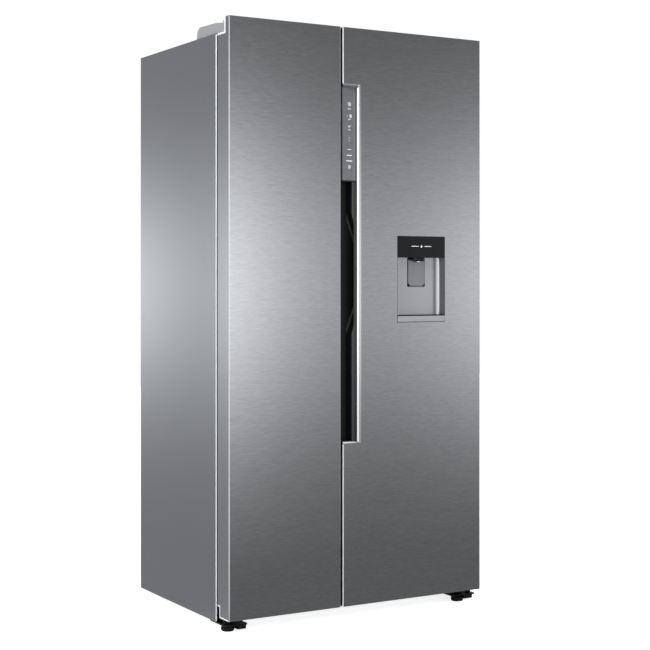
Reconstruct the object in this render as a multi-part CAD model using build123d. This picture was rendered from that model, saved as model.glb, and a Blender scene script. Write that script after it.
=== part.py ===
"""Side by side refrigerator with two hinged doors, standing on two feet and two rollers.

Millimetres. The floor is z = 0, x runs to the right seen from the front and y runs to the back.
"""
import os
from dataclasses import dataclass
from math import radians, tan

from build123d import *

# Overall size: outer width, rear sheet to the proud handle trim, floor to the doors' upper edge.
WIDTH = 908.0
DEPTH = 648.2
HEIGHT = 1811.0

# Cabinet shell and its insulated walls.
CASE_TOP_DROP = 41.0
SKIRT = 22.0
BASE_HEIGHT = 38.0
PAN_THICKNESS = 1.2
SHEET = 0.8
CASE_EDGE_RADIUS = 3.0
REAR_INSET = 4.0
CASE_FLANGE = 40.0
SIDE_WALL = 52.0
TOP_WALL = 56.0
BACK_WALL = 54.0
PARTITION = 60.0
LINER = 2.0
LINER_RADIUS = 18.0
LINER_LAND = 6.0
SILL_LAND = 12.0
FLOOR_HEIGHT = 100.0
MACHINE_DEPTH = 170.0
MACHINE_TOP = 262.0
HUMP_WALL = 42.0

# Doors: line between them, thickness, stepped ends and seal.
TRIM_PROUD = 1.2
SPLIT_X = -68.5
DOOR_GAP = 7.0
DOOR_DEPTH = 74.0
SEAL_GAP = 12.0
SEAL_AIR = 0.3
SEAL_GROOVE = 4.0
SEAL_GROOVE_START = 3.0
SEAL_GROOVE_END = 7.5
SEAL_WIDTH = 16.0
SEAL_HINGE_INSET = 18.0
SEAL_LATCH_INSET = 8.0
DOOR_CLEARANCE = 39.0
DOOR_EDGE_RADIUS = 4.0
STEP_AIR = 2.0
SKIN_LIP = 22.0
CAP_LIP = 30.0
TOP_CAP = 6.0
BOTTOM_CAP = 4.0
FOOT_NOTCH_SETBACK = 62.0
FOOT_NOTCH_HEIGHT = 72.0
DIKE_HEIGHT = 58.0
DIKE_WIDTH = 26.0
DIKE_HINGE_AIR = 12.0
DIKE_LATCH_AIR = 20.0
DIKE_END_AIR = 10.0

# Hinges.
HINGE_INSET = 15.0
HINGE_SETBACK = 50.0
PIN_RADIUS = 5.0
PIN_AIR = 0.05
PIN_REACH = 26.0
BOSS_RADIUS = 12.0
HINGE_PLATE = 4.0
HINGE_REACH = 138.0
HINGE_INBOARD = 46.0
HINGE_OUTBOARD = 5.5
HINGE_NOSE_RADIUS = 11.0
COVER_HEIGHT = 37.0
COVER_REACH = 180.0
COVER_INBOARD = 56.0
COVER_OUTBOARD = 8.5
COVER_NOSE_RADIUS = 14.0
COVER_NOSE_HEIGHT = 9.0
COVER_FRONT_SETBACK = 8.0
COVER_BREAK = 13.0
COVER_BREAK_FALL = 3.5
COVER_FRONT_FALL = 9.0
COVER_POST_RADIUS = 8.0
COVER_POST_FALL = 2.5
COVER_BRIDGE_HEIGHT = 24.0
COVER_WALL = 2.5
COVER_REAR_RADIUS = 26.0
LOWER_PLATE_FRONT = 26.0
LOWER_PLATE_REACH = 134.0
LOWER_FLANGE_HEIGHT = 44.0
LOWER_FLANGE_SETBACK = 46.0
LOWER_PLATE_RADIUS = 6.0
LOWER_PLATE_EDGE = 2.0
LEFT_PLATE_WIDTH = 74.0
RIGHT_PLATE_WIDTH = 88.0
LEFT_PAD_INSET = 46.0
LEFT_PAD_WIDTH = 28.0
RIGHT_PAD_INSET = 8.0
RIGHT_PAD_WIDTH = 32.0
PAD_FRONT = 34.0
PAD_DEPTH = 28.0
PAD_RISE = 5.0
SHOULDER_RADIUS = 9.0
SHOULDER_AIR = 0.3

# Feet and rollers.
FOOT_RADIUS = 19.0
FOOT_HEIGHT = 12.0
FOOT_CHAMFER = 2.0
STUD_RADIUS = 5.0
LEFT_FOOT_INSET = 25.0
RIGHT_FOOT_INSET = 61.0
LEFT_FOOT_SETBACK = 58.0
RIGHT_FOOT_SETBACK = 44.0
ROLLER_RADIUS = 17.0
ROLLER_WIDTH = 24.0
ROLLER_CHAMFER = 1.5
ROLLER_INSET = 60.0
ROLLER_SETBACK = 70.0
AXLE_RADIUS = 4.0
CHEEK = 3.0
FORK_DEPTH = 28.0
FORK_DROP = 9.0
FORK_AIR = 1.0

# Grip channel, its trim and the control panel at the inner edge of the wide door.
NOTCH_BOTTOM = 536.0
NOTCH_TOP_DROP = 173.0
NOTCH_WIDTH = 65.0
TRIM_SIDE = 12.0
TRIM_TOP = 11.0
TRIM_BOTTOM = 6.5
TRIM_DEPTH = 8.0
TRIM_INNER_DEPTH = 3.5
TRIM_BEVEL = 4.5
TRIM_LIP = 2.5
TRIM_LIP_PROUD = 0.3
TRIM_GROOVE = 0.3
PANEL_HEIGHT = 284.0
PANEL_FRONT = 3.0
PANEL_TILT = 8.0
GRIP_DEPTH = 50.0
GRIP_WALL = 4.0
GRIP_UNDERCUT = 26.0
GRIP_CHEEK = 4.0
NOSE_RADIUS = 14.0
NOSE_LIP = 1.0
SCOOP_RISE = 369.0
SCOOP_DROP = 136.0
SCOOP_TAPER = 41.0
SCOOP_RADIUS = 34.0
SCOOP_FRONT_AIR = 3.0
SCOOP_EDGE = 8.0
SIDE_GRIP_FRONT = 12.0
SIDE_GRIP_REACH = 28.0

# Water dispenser in the wide door.
DISPENSER_X = 223.7
DISPENSER_WIDTH = 179.0
DISPENSER_BOTTOM = 906.0
DISPENSER_TOP = 1174.5
DISPENSER_DEPTH = 56.0
DISPENSER_WALL = 3.0
FASCIA_HEIGHT = 66.5
FASCIA_DEPTH = 6.0
TRAY_HEIGHT = 22.0
TRAY_AIR = 0.4
TRAY_LIP = 3.6
NICHE_DEPTH = 30.0
NICHE_RADIUS = 12.0
PADDLE_WIDTH = 62.0
PADDLE_HEIGHT = 82.0
PADDLE_THICKNESS = 6.0
PADDLE_SETBACK = 28.0
PADDLE_AIR = 2.5
PADDLE_RADIUS = 13.0
PADDLE_PIVOT_RADIUS = 3.5
PADDLE_PIVOT_SETBACK = 36.0
PADDLE_PIVOT_DROP = 7.0
NOZZLE_LENGTH = 40.0
NOZZLE_WIDTH = 18.0
NOZZLE_DROP = 11.0
NOZZLE_SETBACK = 16.0
NOZZLE_CHAMFER = 2.5
NOZZLE_BORE = 4.0
NOZZLE_BORE_DEPTH = 8.0

# Fittings inside the cabinet.
BIN_DEPTH = 92.0
BIN_HEIGHT = 105.0
TUB_WALL = 2.5
TUB_DRAFT = 2.0
SHELF_AIR = 20.0
SHELF_SIDE_AIR = 1.5
SHELF_TRIM_DEPTH = 20.0
SHELF_TRIM_FACE = 6.0
SHELF_TRIM_BELOW = 4.0
SHELF_TRIM_ABOVE = 5.0
SHELF_TRIM_RADIUS = 4.0
GLASS = 4.0
RIB = 8.0
RIB_HEIGHT = 6.0
DRAWER_AIR = 0.3
DRAWER_SETBACK = 22.0
DRAWER_FRONT = 6.0
DRAWER_FRONT_RADIUS = 5.0
DRAWER_SLOT_WIDTH = 110.0
DRAWER_SLOT_HEIGHT = 18.0
DRAWER_SLOT_DROP = 26.0
DRAWER_SLOT_RADIUS = 8.0
LOWER_DRAWER_HEIGHT = 190.0
UPPER_DRAWER_HEIGHT = 180.0
DRAWER_ROOF = 520.0
FREEZER_SHELVES = 3
FRIDGE_SHELVES = 4
FREEZER_BINS = 5
TANK_HEIGHT = 200.0
TANK_BASE = 1130.0
TANK_LID = 8.0
EVAPORATOR_GAP = 52.0
COVER_PLATE = 3.0
DUCT_WIDTH = 180.0
DUCT_DEPTH = 22.0
TUBE_RADIUS = 3.2
COMPRESSOR_INSET = 184.0
COMPRESSOR_RADIUS = 76.0
COMPRESSOR_HEIGHT = 165.0
COMPRESSOR_SHELL = 8.0
COMPRESSOR_DOME = 40.0
COMPRESSOR_PLATE = 3.0
COMPRESSOR_PLATE_WIDTH = 220.0
COMPRESSOR_PLATE_DEPTH = 130.0
SEAM_RISE = 88.0
SEAM_HEIGHT = 6.0
SEAM_PROUD = 4.0
TERMINAL_WIDTH = 40.0
TERMINAL_DEPTH = 60.0
TERMINAL_HEIGHT = 50.0
TERMINAL_RISE = 35.0
MOUNT_HEIGHT = 12.0
MOUNT_RADIUS = 14.0
MOUNT_INSET_X = 18.0
MOUNT_INSET_Y = 17.0
CONDENSER_FAN_INSET = 349.0
FAN_RADIUS = 68.0
FAN_HUB = 22.0
FAN_DEPTH = 20.0
FAN_RISE = 100.0
FAN_AIR = 4.0
SHAFT_RADIUS = 4.0
SHAFT_REACH = 14.0
SHAFT_HOLE_AIR = 1.0
SHROUD = 4.0
SHROUD_DEPTH = 156.0
SHROUD_HEIGHT = 190.0
SPIDER_WIDTH = 10.0
MOTOR_RADIUS = 21.0
MOTOR_LENGTH = 38.0
SMALL_MOTOR_RADIUS = 20.0
SMALL_MOTOR_LENGTH = 14.0
SMALL_SHAFT = 42.0
CONDENSER_PASSES = 6
CONDENSER_PITCH = 30.0
CONDENSER_RISE = 30.0
CONDENSER_SIDE_AIR = 90.0
CONDENSER_FAN_AIR = 150.0
COIL_STAND_INSET = 40.0
COIL_STAND = 2.0
COIL_STAND_DEPTH = 60.0
COIL_STAND_HEIGHT = 200.0
DRAIN_PAN_WIDTH = 80.0
DRAIN_PAN_HEIGHT = 40.0
DRAIN_PAN_WALL = 2.0
DRAIN_PAN_END_AIR = 20.0
DRAIN_PAN_FAN_AIR = 30.0
EVAPORATOR_PASSES = 6
EVAPORATOR_PITCH = 40.0
EVAPORATOR_RISE = 60.0
EVAPORATOR_SIDE_AIR = 20.0
EVAPORATOR_BACK_AIR = 24.0
FIN_COUNT = 13
FIN = 1.0
FIN_HALF_DEPTH = 16.0
FIN_OVERLAP = 18.0
FIN_INSET = 30.0
GRILLE_PITCH = 13.0
GRILLE_BAR = 5.0
SLOT_HEIGHT = 6.0
SLOT_PITCH = 14.0
RETURN_SLOTS = 4
OUTLET_SLOTS = 3
RETURN_RISE = 34.0
OUTLET_DROP = 120.0
SLOT_END = 42.0
DUCT_RISE = 130.0
DUCT_DROP = 60.0
DUCT_CHAMFER = 10.0
VENT_WIDTH = 50.0
VENT_HEIGHT = 7.0
VENT_PITCH = 16.0
VENT_RISE = 60.0
VENT_SPREAD = 42.0
LENS_WIDTH = 120.0
LENS_DEPTH = 44.0
LENS_HEIGHT = 6.0
LENS_SETBACK = 60.0
GLAND_RADIUS = 12.0
GLAND_BORE = 4.0
GLAND_LENGTH = 12.5
GLAND_INSET = 60.0
GLAND_RISE = 180.0
LOUVRE_SHEET = 1.5
LOUVRE_COUNT = 14
LOUVRE_PITCH = 22.0
LOUVRE_WIDTH = 9.0
LOUVRE_HEIGHT = 62.0
LOUVRE_ROWS = 2
LOUVRE_ROW_PITCH = 80.0
EVAPORATOR_FAN_RISE = 470.0

# Lines that follow from the sizes above.
LEFT, RIGHT = -WIDTH / 2, WIDTH / 2
BACK = DEPTH / 2
REAR = BACK - REAR_INSET
FACE = TRIM_PROUD - DEPTH / 2
DOOR_REAR = FACE + DOOR_DEPTH
CASE_FRONT = DOOR_REAR + SEAL_GAP
CASE_TOP = HEIGHT - CASE_TOP_DROP
DOOR_STEP = CASE_TOP - STEP_AIR
BASE_TOP = BASE_HEIGHT + PAN_THICKNESS
CEILING = CASE_TOP - TOP_WALL
INNER_BACK = BACK - BACK_WALL
MACHINE_FRONT = BACK - MACHINE_DEPTH
MACHINE_Y = (MACHINE_FRONT + REAR) / 2
COMPRESSOR_X = RIGHT - COMPRESSOR_INSET
CONDENSER_FAN_X = RIGHT - CONDENSER_FAN_INSET
HUMP_FRONT = MACHINE_FRONT - HUMP_WALL
HUMP_TOP = MACHINE_TOP + HUMP_WALL
FREEZER_X = (LEFT + SIDE_WALL, SPLIT_X - PARTITION / 2)
FRIDGE_X = (SPLIT_X + PARTITION / 2, RIGHT - SIDE_WALL)
HINGE_Y = FACE + HINGE_SETBACK
SHELF_FRONT = DOOR_REAR + BIN_DEPTH + SHELF_AIR
COVER_FRONT = INNER_BACK - EVAPORATOR_GAP - COVER_PLATE
NOTCH_TOP = HEIGHT - NOTCH_TOP_DROP
PANEL_BOTTOM = NOTCH_TOP - TRIM_TOP - PANEL_HEIGHT
SCOOP_BOTTOM = NOTCH_BOTTOM + SCOOP_RISE
SCOOP_TOP = PANEL_BOTTOM - SCOOP_DROP
NOTCH_EDGE = SPLIT_X + DOOR_GAP / 2 + NOTCH_WIDTH
GRIP_INNER = NOTCH_EDGE - TRIM_SIDE
FASCIA_BOTTOM = DISPENSER_TOP - FASCIA_HEIGHT
DISPENSER_X0 = DISPENSER_X - DISPENSER_WIDTH / 2
DISPENSER_X1 = DISPENSER_X + DISPENSER_WIDTH / 2
NICHE_BOTTOM = DISPENSER_BOTTOM + TRAY_HEIGHT
NICHE_BACK = FACE + NICHE_DEPTH


@dataclass
class Door:
    """Horizontal span of one door and the side its hinge is on."""

    x0: float
    x1: float
    hinge_left: bool
    opening: tuple

    @property
    def hinge_x(self):
        return self.x0 + HINGE_INSET if self.hinge_left else self.x1 - HINGE_INSET

    @property
    def seal_x(self):
        left, right = SEAL_HINGE_INSET, SEAL_LATCH_INSET
        if not self.hinge_left:
            left, right = right, left
        return self.x0 + left, self.x1 - right

    @property
    def dike_x(self):
        left, right = DIKE_HINGE_AIR, DIKE_LATCH_AIR
        if not self.hinge_left:
            left, right = right, left
        return self.opening[0] + left, self.opening[1] - right


FREEZER_DOOR = Door(LEFT, SPLIT_X - DOOR_GAP / 2, True, FREEZER_X)
FRIDGE_DOOR = Door(SPLIT_X + DOOR_GAP / 2, RIGHT, False, FRIDGE_X)


def block(x0, x1, y0, y1, z0, z1):
    """Box between two corners."""
    return Pos((x0 + x1) / 2, (y0 + y1) / 2, (z0 + z1) / 2) * Box(x1 - x0, y1 - y0, z1 - z0)


def prism_x(points, x0, x1, radius=0.0, rounded=()):
    """Polygon of (y, z) points extruded along x, with the corners numbered in rounded filleted."""
    face = make_face(Polyline(*points, close=True))
    if radius:
        corners = [Vector(*points[i]) for i in rounded]
        picked = [v for v in face.vertices() if any((Vector(v) - c).length < 1e-3 for c in corners)]
        face = fillet(picked, radius)
    return extrude(Plane.YZ.offset(x0) * face, amount=x1 - x0)


def prism_z(points, z0, z1):
    """Polygon of (x, y) points extruded upwards."""
    return extrude(Plane.XY.offset(z0) * make_face(Polyline(*points, close=True)), amount=z1 - z0)


def prism_y(points, y0, y1):
    """Polygon of (x, z) points extruded backwards."""
    return extrude(Plane.XZ.offset(-y1) * make_face(Polyline(*points, close=True)), amount=y1 - y0)


def post(x, y, z0, z1, radius):
    """Upright cylinder."""
    return Pos(x, y, (z0 + z1) / 2) * Cylinder(radius, z1 - z0)


def rod_x(x0, x1, y, z, radius):
    """Cylinder along x."""
    return Pos((x0 + x1) / 2, y, z) * Rot(0, 90, 0) * Cylinder(radius, x1 - x0)


def rod_y(x, y0, y1, z, radius):
    """Cylinder along y."""
    return Pos(x, (y0 + y1) / 2, z) * Rot(90, 0, 0) * Cylinder(radius, y1 - y0)


def front_uprights(solid):
    """Vertical edges nearest the front."""
    return solid.edges().filter_by(Axis.Z).group_by(Axis.Y)[0]


def group(solids):
    """Several separate pieces that share one node."""
    return Compound(children=[piece.solid() if hasattr(piece, "solid") else piece for piece in solids])


def compartment_points(grow, front):
    """Side profile of a compartment, enlarged by grow, from the mouth round to the ceiling."""
    return [
        (front, FLOOR_HEIGHT - grow),
        (HUMP_FRONT + grow, FLOOR_HEIGHT - grow),
        (HUMP_FRONT + grow, HUMP_TOP - grow),
        (INNER_BACK + grow, HUMP_TOP - grow),
        (INNER_BACK + grow, CEILING + grow),
        (front, CEILING + grow),
    ]


def shelf_levels(count):
    """Heights of the glass undersides: the drawer roof and the shelves above it."""
    pitch = (CEILING - DRAWER_ROOF) / (count + 1)
    return [DRAWER_ROOF + i * pitch for i in range(count + 1)]


def drawer_levels():
    """Bottom and top of the lower and the upper drawer."""
    lower = (FLOOR_HEIGHT + DRAWER_AIR, FLOOR_HEIGHT + DRAWER_AIR + LOWER_DRAWER_HEIGHT)
    top = DRAWER_ROOF - RIB_HEIGHT - 10
    return lower, (top - UPPER_DRAWER_HEIGHT, top)


# Cabinet shell


def cabinet_case():
    outer = block(LEFT, RIGHT, CASE_FRONT, BACK, SKIRT, CASE_TOP)
    outer = fillet(front_uprights(outer), CASE_EDGE_RADIUS)
    inner = block(LEFT + SHEET, RIGHT - SHEET, CASE_FRONT + SHEET, BACK + 1, SKIRT - 1, CASE_TOP - SHEET)
    inner = fillet(front_uprights(inner), CASE_EDGE_RADIUS - SHEET)
    mouth = block(LEFT + CASE_FLANGE, RIGHT - CASE_FLANGE, CASE_FRONT - 1, CASE_FRONT + 2 * SHEET,
                  SKIRT - 1, CASE_TOP - CASE_FLANGE)
    return outer - inner - mouth


def cabinet_foam():
    body = block(LEFT + SHEET, RIGHT - SHEET, CASE_FRONT + LINER, REAR - SHEET,
                 BASE_TOP, CASE_TOP - SHEET)
    body = chamfer(front_uprights(body), CASE_EDGE_RADIUS)
    for x0, x1 in (FREEZER_X, FRIDGE_X):
        body -= prism_x(compartment_points(LINER, CASE_FRONT), x0 - LINER, x1 + LINER)
    return body - block(LEFT, RIGHT, MACHINE_FRONT, BACK + 1, 0, MACHINE_TOP)


def liner(span, flange, shelves):
    """Moulded compartment with its front flange and the ribs that carry shelves and drawers."""
    x0, x1 = span
    outer = prism_x(compartment_points(LINER, CASE_FRONT), x0 - LINER, x1 + LINER,
                    LINER_RADIUS + LINER, (1, 3, 4))
    outer += block(flange[0], flange[1], CASE_FRONT, CASE_FRONT + LINER,
                   FLOOR_HEIGHT - SILL_LAND, CASE_TOP - CASE_FLANGE)
    shell = outer - prism_x(compartment_points(0, CASE_FRONT - 1), x0, x1, LINER_RADIUS, (1, 3, 4))
    upper_drawer_top = drawer_levels()[1][1]
    for top in shelf_levels(shelves) + [upper_drawer_top - RIB_HEIGHT - DRAWER_AIR]:
        for a, b in ((x0, x0 + RIB), (x1 - RIB, x1)):
            shell += block(a, b, SHELF_FRONT + 30, COVER_FRONT - 10, top - RIB_HEIGHT, top)
    return shell


def freezer_liner():
    return liner(FREEZER_X, (LEFT + CASE_FLANGE, FREEZER_X[1] + LINER_LAND), FREEZER_SHELVES)


def fridge_liner():
    return liner(FRIDGE_X, (FRIDGE_X[0] - LINER_LAND, RIGHT - CASE_FLANGE), FRIDGE_SHELVES)


def front_rail():
    """T-shaped steel face between the two openings and below them."""
    upright = block(FREEZER_X[1] + LINER_LAND, FRIDGE_X[0] - LINER_LAND, CASE_FRONT, CASE_FRONT + LINER,
                    FLOOR_HEIGHT - SILL_LAND, CASE_TOP - CASE_FLANGE)
    sill = block(LEFT + CASE_FLANGE, RIGHT - CASE_FLANGE, CASE_FRONT, CASE_FRONT + LINER,
                 BASE_HEIGHT, FLOOR_HEIGHT - SILL_LAND)
    return upright + sill


def base_pan():
    pan = block(LEFT + SHEET, RIGHT - SHEET, CASE_FRONT + LINER, REAR, BASE_HEIGHT, BASE_TOP)
    return chamfer(front_uprights(pan), CASE_EDGE_RADIUS)


def back_panel():
    return block(LEFT + SHEET, RIGHT - SHEET, REAR - SHEET, REAR, MACHINE_TOP, CASE_TOP - SHEET)


def machine_cover():
    """Louvred sheet over the machine compartment."""
    sheet = block(LEFT + SHEET, RIGHT - SHEET, REAR - LOUVRE_SHEET, REAR, BASE_TOP, MACHINE_TOP)
    slot = Box(LOUVRE_WIDTH, 4 * LOUVRE_SHEET, LOUVRE_HEIGHT)
    middle = (BASE_TOP + MACHINE_TOP) / 2
    for centre in (LEFT / 2, RIGHT / 2):
        for row in range(LOUVRE_ROWS):
            z = middle + (row - (LOUVRE_ROWS - 1) / 2) * LOUVRE_ROW_PITCH
            for i in range(LOUVRE_COUNT):
                x = centre + (i - (LOUVRE_COUNT - 1) / 2) * LOUVRE_PITCH
                sheet -= Pos(x, REAR, z) * slot
    return sheet


# Machine compartment and cold side


def serpentine(x0, x1, y, z0, passes, pitch):
    """One unbroken tube going to and fro along x."""
    points = []
    for i in range(passes):
        ends = (x0, x1) if i % 2 == 0 else (x1, x0)
        points += [(end, y, z0 + i * pitch) for end in ends]
    path = FilletPolyline(*points, radius=0.48 * pitch)
    return sweep(Plane(origin=path @ 0, z_dir=path % 0) * Circle(TUBE_RADIUS), path=path)


def compressor():
    y = MACHINE_Y
    z0 = BASE_TOP + MOUNT_HEIGHT
    z1 = z0 + COMPRESSOR_PLATE
    top = z1 + COMPRESSOR_HEIGHT
    plate = Pos(COMPRESSOR_X, y, (z0 + z1) / 2) * Box(COMPRESSOR_PLATE_WIDTH, COMPRESSOR_PLATE_DEPTH, z1 - z0)
    pot = post(COMPRESSOR_X, y, z1, top, COMPRESSOR_RADIUS)
    pot = fillet(pot.edges().filter_by(GeomType.CIRCLE).sort_by(Axis.Z)[-1], COMPRESSOR_DOME)
    seam = post(COMPRESSOR_X, y, z0 + SEAM_RISE, z0 + SEAM_RISE + SEAM_HEIGHT, COMPRESSOR_RADIUS + SEAM_PROUD)
    terminal = Pos(COMPRESSOR_X - COMPRESSOR_RADIUS, y, z0 + TERMINAL_RISE + TERMINAL_HEIGHT / 2) * Box(
        TERMINAL_WIDTH, TERMINAL_DEPTH, TERMINAL_HEIGHT)
    hollow = post(COMPRESSOR_X, y, z1 + COMPRESSOR_SHELL, top - COMPRESSOR_SHELL,
                  COMPRESSOR_RADIUS - COMPRESSOR_SHELL)
    hollow = chamfer(hollow.edges().filter_by(GeomType.CIRCLE).sort_by(Axis.Z)[-1],
                     COMPRESSOR_DOME - COMPRESSOR_SHELL)
    return plate + pot + seam + terminal - hollow


def compressor_mounts():
    y = MACHINE_Y
    reach_x = COMPRESSOR_PLATE_WIDTH / 2 - MOUNT_INSET_X
    reach_y = COMPRESSOR_PLATE_DEPTH / 2 - MOUNT_INSET_Y
    spots = [(COMPRESSOR_X + sx * reach_x, y + sy * reach_y) for sx in (-1, 1) for sy in (-1, 1)]
    return group([post(px, py, BASE_TOP, BASE_TOP + MOUNT_HEIGHT, MOUNT_RADIUS) for px, py in spots])


def condenser_coil():
    y = MACHINE_Y
    x0, x1 = LEFT + CONDENSER_SIDE_AIR, CONDENSER_FAN_X - CONDENSER_FAN_AIR
    coil = serpentine(x0, x1, y, BASE_TOP + CONDENSER_RISE, CONDENSER_PASSES, CONDENSER_PITCH)
    for x in (x0 + COIL_STAND_INSET, x1 - COIL_STAND_INSET):
        coil += block(x - COIL_STAND / 2, x + COIL_STAND / 2,
                      y - COIL_STAND_DEPTH / 2, y + COIL_STAND_DEPTH / 2,
                      BASE_TOP, BASE_TOP + COIL_STAND_HEIGHT)
    return coil


def shroud_span():
    """Faces of the plate that stands behind the condenser fan."""
    x0 = CONDENSER_FAN_X + FAN_DEPTH / 2 + FAN_AIR
    return x0, x0 + SHROUD


def fan_shroud():
    """Upright plate with a spider that carries the condenser fan's motor."""
    y, z = MACHINE_Y, BASE_TOP + FAN_RISE
    x0, x1 = shroud_span()
    plate = block(x0, x1, y - SHROUD_DEPTH / 2, y + SHROUD_DEPTH / 2, BASE_TOP, BASE_TOP + SHROUD_HEIGHT)
    ring = rod_x(x0 - 1, x1 + 1, y, z, FAN_RADIUS + FAN_AIR) - rod_x(x0 - 2, x1 + 2, y, z, FAN_HUB)
    for angle in (90, 210, 330):
        arm = block(x0 - 3, x1 + 3, -SPIDER_WIDTH / 2, SPIDER_WIDTH / 2, 0, FAN_RADIUS + 2 * FAN_AIR)
        ring -= Pos(0, y, z) * Rot(angle, 0, 0) * arm
    return plate - ring - rod_x(x0 - 1, x1 + 1, y, z, SHAFT_RADIUS + SHAFT_HOLE_AIR)


def evaporator_fan_centre():
    return (FREEZER_X[0] + FREEZER_X[1]) / 2, COVER_FRONT + COVER_PLATE, HUMP_TOP + EVAPORATOR_FAN_RISE


def fan_motors():
    y, z = MACHINE_Y, BASE_TOP + FAN_RISE
    front = shroud_span()[1]
    condenser = rod_x(front, front + MOTOR_LENGTH, y, z, MOTOR_RADIUS)
    condenser += rod_x(CONDENSER_FAN_X - SHAFT_REACH, front, y, z, SHAFT_RADIUS)
    cx, cy, cz = evaporator_fan_centre()
    evaporator = rod_y(cx, cy, cy + SMALL_MOTOR_LENGTH, cz, SMALL_MOTOR_RADIUS)
    evaporator += rod_y(cx, cy, cy + SMALL_SHAFT, cz, SHAFT_RADIUS)
    return group([condenser, evaporator])


def fan(blades):
    """Axial fan about z: a bored hub and twisted blades."""
    wheel = Cylinder(FAN_HUB - 1, FAN_DEPTH) - Cylinder(SHAFT_RADIUS + PIN_AIR, 2 * FAN_DEPTH)
    root = Plane(origin=(FAN_HUB - 5, 0, 0), x_dir=(0, 1, 0), z_dir=(1, 0, 0)).rotated((48, 0, 0))
    tip = Plane(origin=(FAN_RADIUS, 0, 0), x_dir=(0, 1, 0), z_dir=(1, 0, 0)).rotated((24, 0, 0))
    blade = loft([root * Rectangle(22, 2), tip * Rectangle(42, 1.6)])
    for i in range(blades):
        wheel += Rot(0, 0, 360 * i / blades) * blade
    return wheel


def condenser_fan():
    return Pos(CONDENSER_FAN_X, MACHINE_Y, BASE_TOP + FAN_RISE) * Rot(0, 90, 0) * fan(5)


def evaporator_fan():
    cx, cy, cz = evaporator_fan_centre()
    return Pos(cx, cy + SMALL_MOTOR_LENGTH + 3 + FAN_DEPTH / 2, cz) * Rot(90, 0, 0) * fan(7)


def drain_pan():
    x1 = CONDENSER_FAN_X - DRAIN_PAN_FAN_AIR
    x0, wall = x1 - DRAIN_PAN_WIDTH, DRAIN_PAN_WALL
    y0, y1 = MACHINE_FRONT + DRAIN_PAN_END_AIR, REAR - DRAIN_PAN_END_AIR
    pan = block(x0, x1, y0, y1, BASE_TOP, BASE_TOP + DRAIN_PAN_HEIGHT)
    return pan - block(x0 + wall, x1 - wall, y0 + wall, y1 - wall,
                       BASE_TOP + wall, BASE_TOP + DRAIN_PAN_HEIGHT + 1)


def evaporator():
    """Finned tube block standing off the freezer's rear wall."""
    x0, x1 = FREEZER_X[0] + EVAPORATOR_SIDE_AIR, FREEZER_X[1] - EVAPORATOR_SIDE_AIR
    y, z0 = INNER_BACK - EVAPORATOR_BACK_AIR, HUMP_TOP + EVAPORATOR_RISE
    z1 = z0 + (EVAPORATOR_PASSES - 1) * EVAPORATOR_PITCH
    coil = serpentine(x0, x1, y, z0, EVAPORATOR_PASSES, EVAPORATOR_PITCH)
    for i in range(FIN_COUNT):
        x = x0 + FIN_INSET + i * (x1 - x0 - 2 * FIN_INSET) / (FIN_COUNT - 1)
        rear = INNER_BACK if i in (0, FIN_COUNT - 1) else y + FIN_HALF_DEPTH
        coil += block(x - FIN / 2, x + FIN / 2, y - FIN_HALF_DEPTH, rear, z0 - FIN_OVERLAP, z1 + FIN_OVERLAP)
    return coil


def evaporator_cover():
    """Freezer rear panel with return slots, outlet slots and the fan's grille."""
    x0, x1 = FREEZER_X
    panel = block(x0, x1, COVER_FRONT, COVER_FRONT + COVER_PLATE, HUMP_TOP, CEILING)
    cx, _, cz = evaporator_fan_centre()
    ring = rod_y(cx, COVER_FRONT - 1, COVER_FRONT + COVER_PLATE + 1, cz, FAN_RADIUS - FAN_AIR)
    ring -= rod_y(cx, COVER_FRONT - 2, COVER_FRONT + COVER_PLATE + 2, cz, FAN_HUB + 2)
    for i in range(-5, 6):
        z = cz + i * GRILLE_PITCH
        ring -= block(cx - FAN_RADIUS, cx + FAN_RADIUS, COVER_FRONT - 3, COVER_FRONT + 3 * COVER_PLATE,
                      z - GRILLE_BAR / 2, z + GRILLE_BAR / 2)
    panel -= ring
    rows = [HUMP_TOP + RETURN_RISE + i * SLOT_PITCH for i in range(RETURN_SLOTS)]
    rows += [CEILING - OUTLET_DROP - i * SLOT_PITCH for i in range(OUTLET_SLOTS)]
    for z in rows:
        panel -= block(x0 + SLOT_END, x1 - SLOT_END, COVER_FRONT - 1, COVER_FRONT + 3 * COVER_PLATE,
                       z, z + SLOT_HEIGHT)
    return panel


def fridge_air_duct():
    """Raised air tower on the fresh-food rear wall."""
    cx = (FRIDGE_X[0] + FRIDGE_X[1]) / 2
    z0, z1 = HUMP_TOP + DUCT_RISE, CEILING - DUCT_DROP
    half = DUCT_WIDTH / 2
    tower = block(cx - half, cx + half, INNER_BACK - DUCT_DEPTH, INNER_BACK, z0, z1)
    tower = chamfer(front_uprights(tower), DUCT_CHAMFER)
    inner = half - DUCT_CHAMFER - COVER_PLATE / 2
    tower -= block(cx - inner, cx + inner, INNER_BACK - DUCT_DEPTH + COVER_PLATE,
                   INNER_BACK + 1, z0 + COVER_PLATE, z1 - COVER_PLATE)
    vent = Box(VENT_WIDTH, 4 * COVER_PLATE, VENT_HEIGHT)
    for level in shelf_levels(FRIDGE_SHELVES)[1:]:
        for side in (-1, 1):
            for rise in (VENT_RISE, VENT_RISE + VENT_PITCH):
                tower -= Pos(cx + side * VENT_SPREAD, INNER_BACK - DUCT_DEPTH, level + rise) * vent
    return tower


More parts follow.
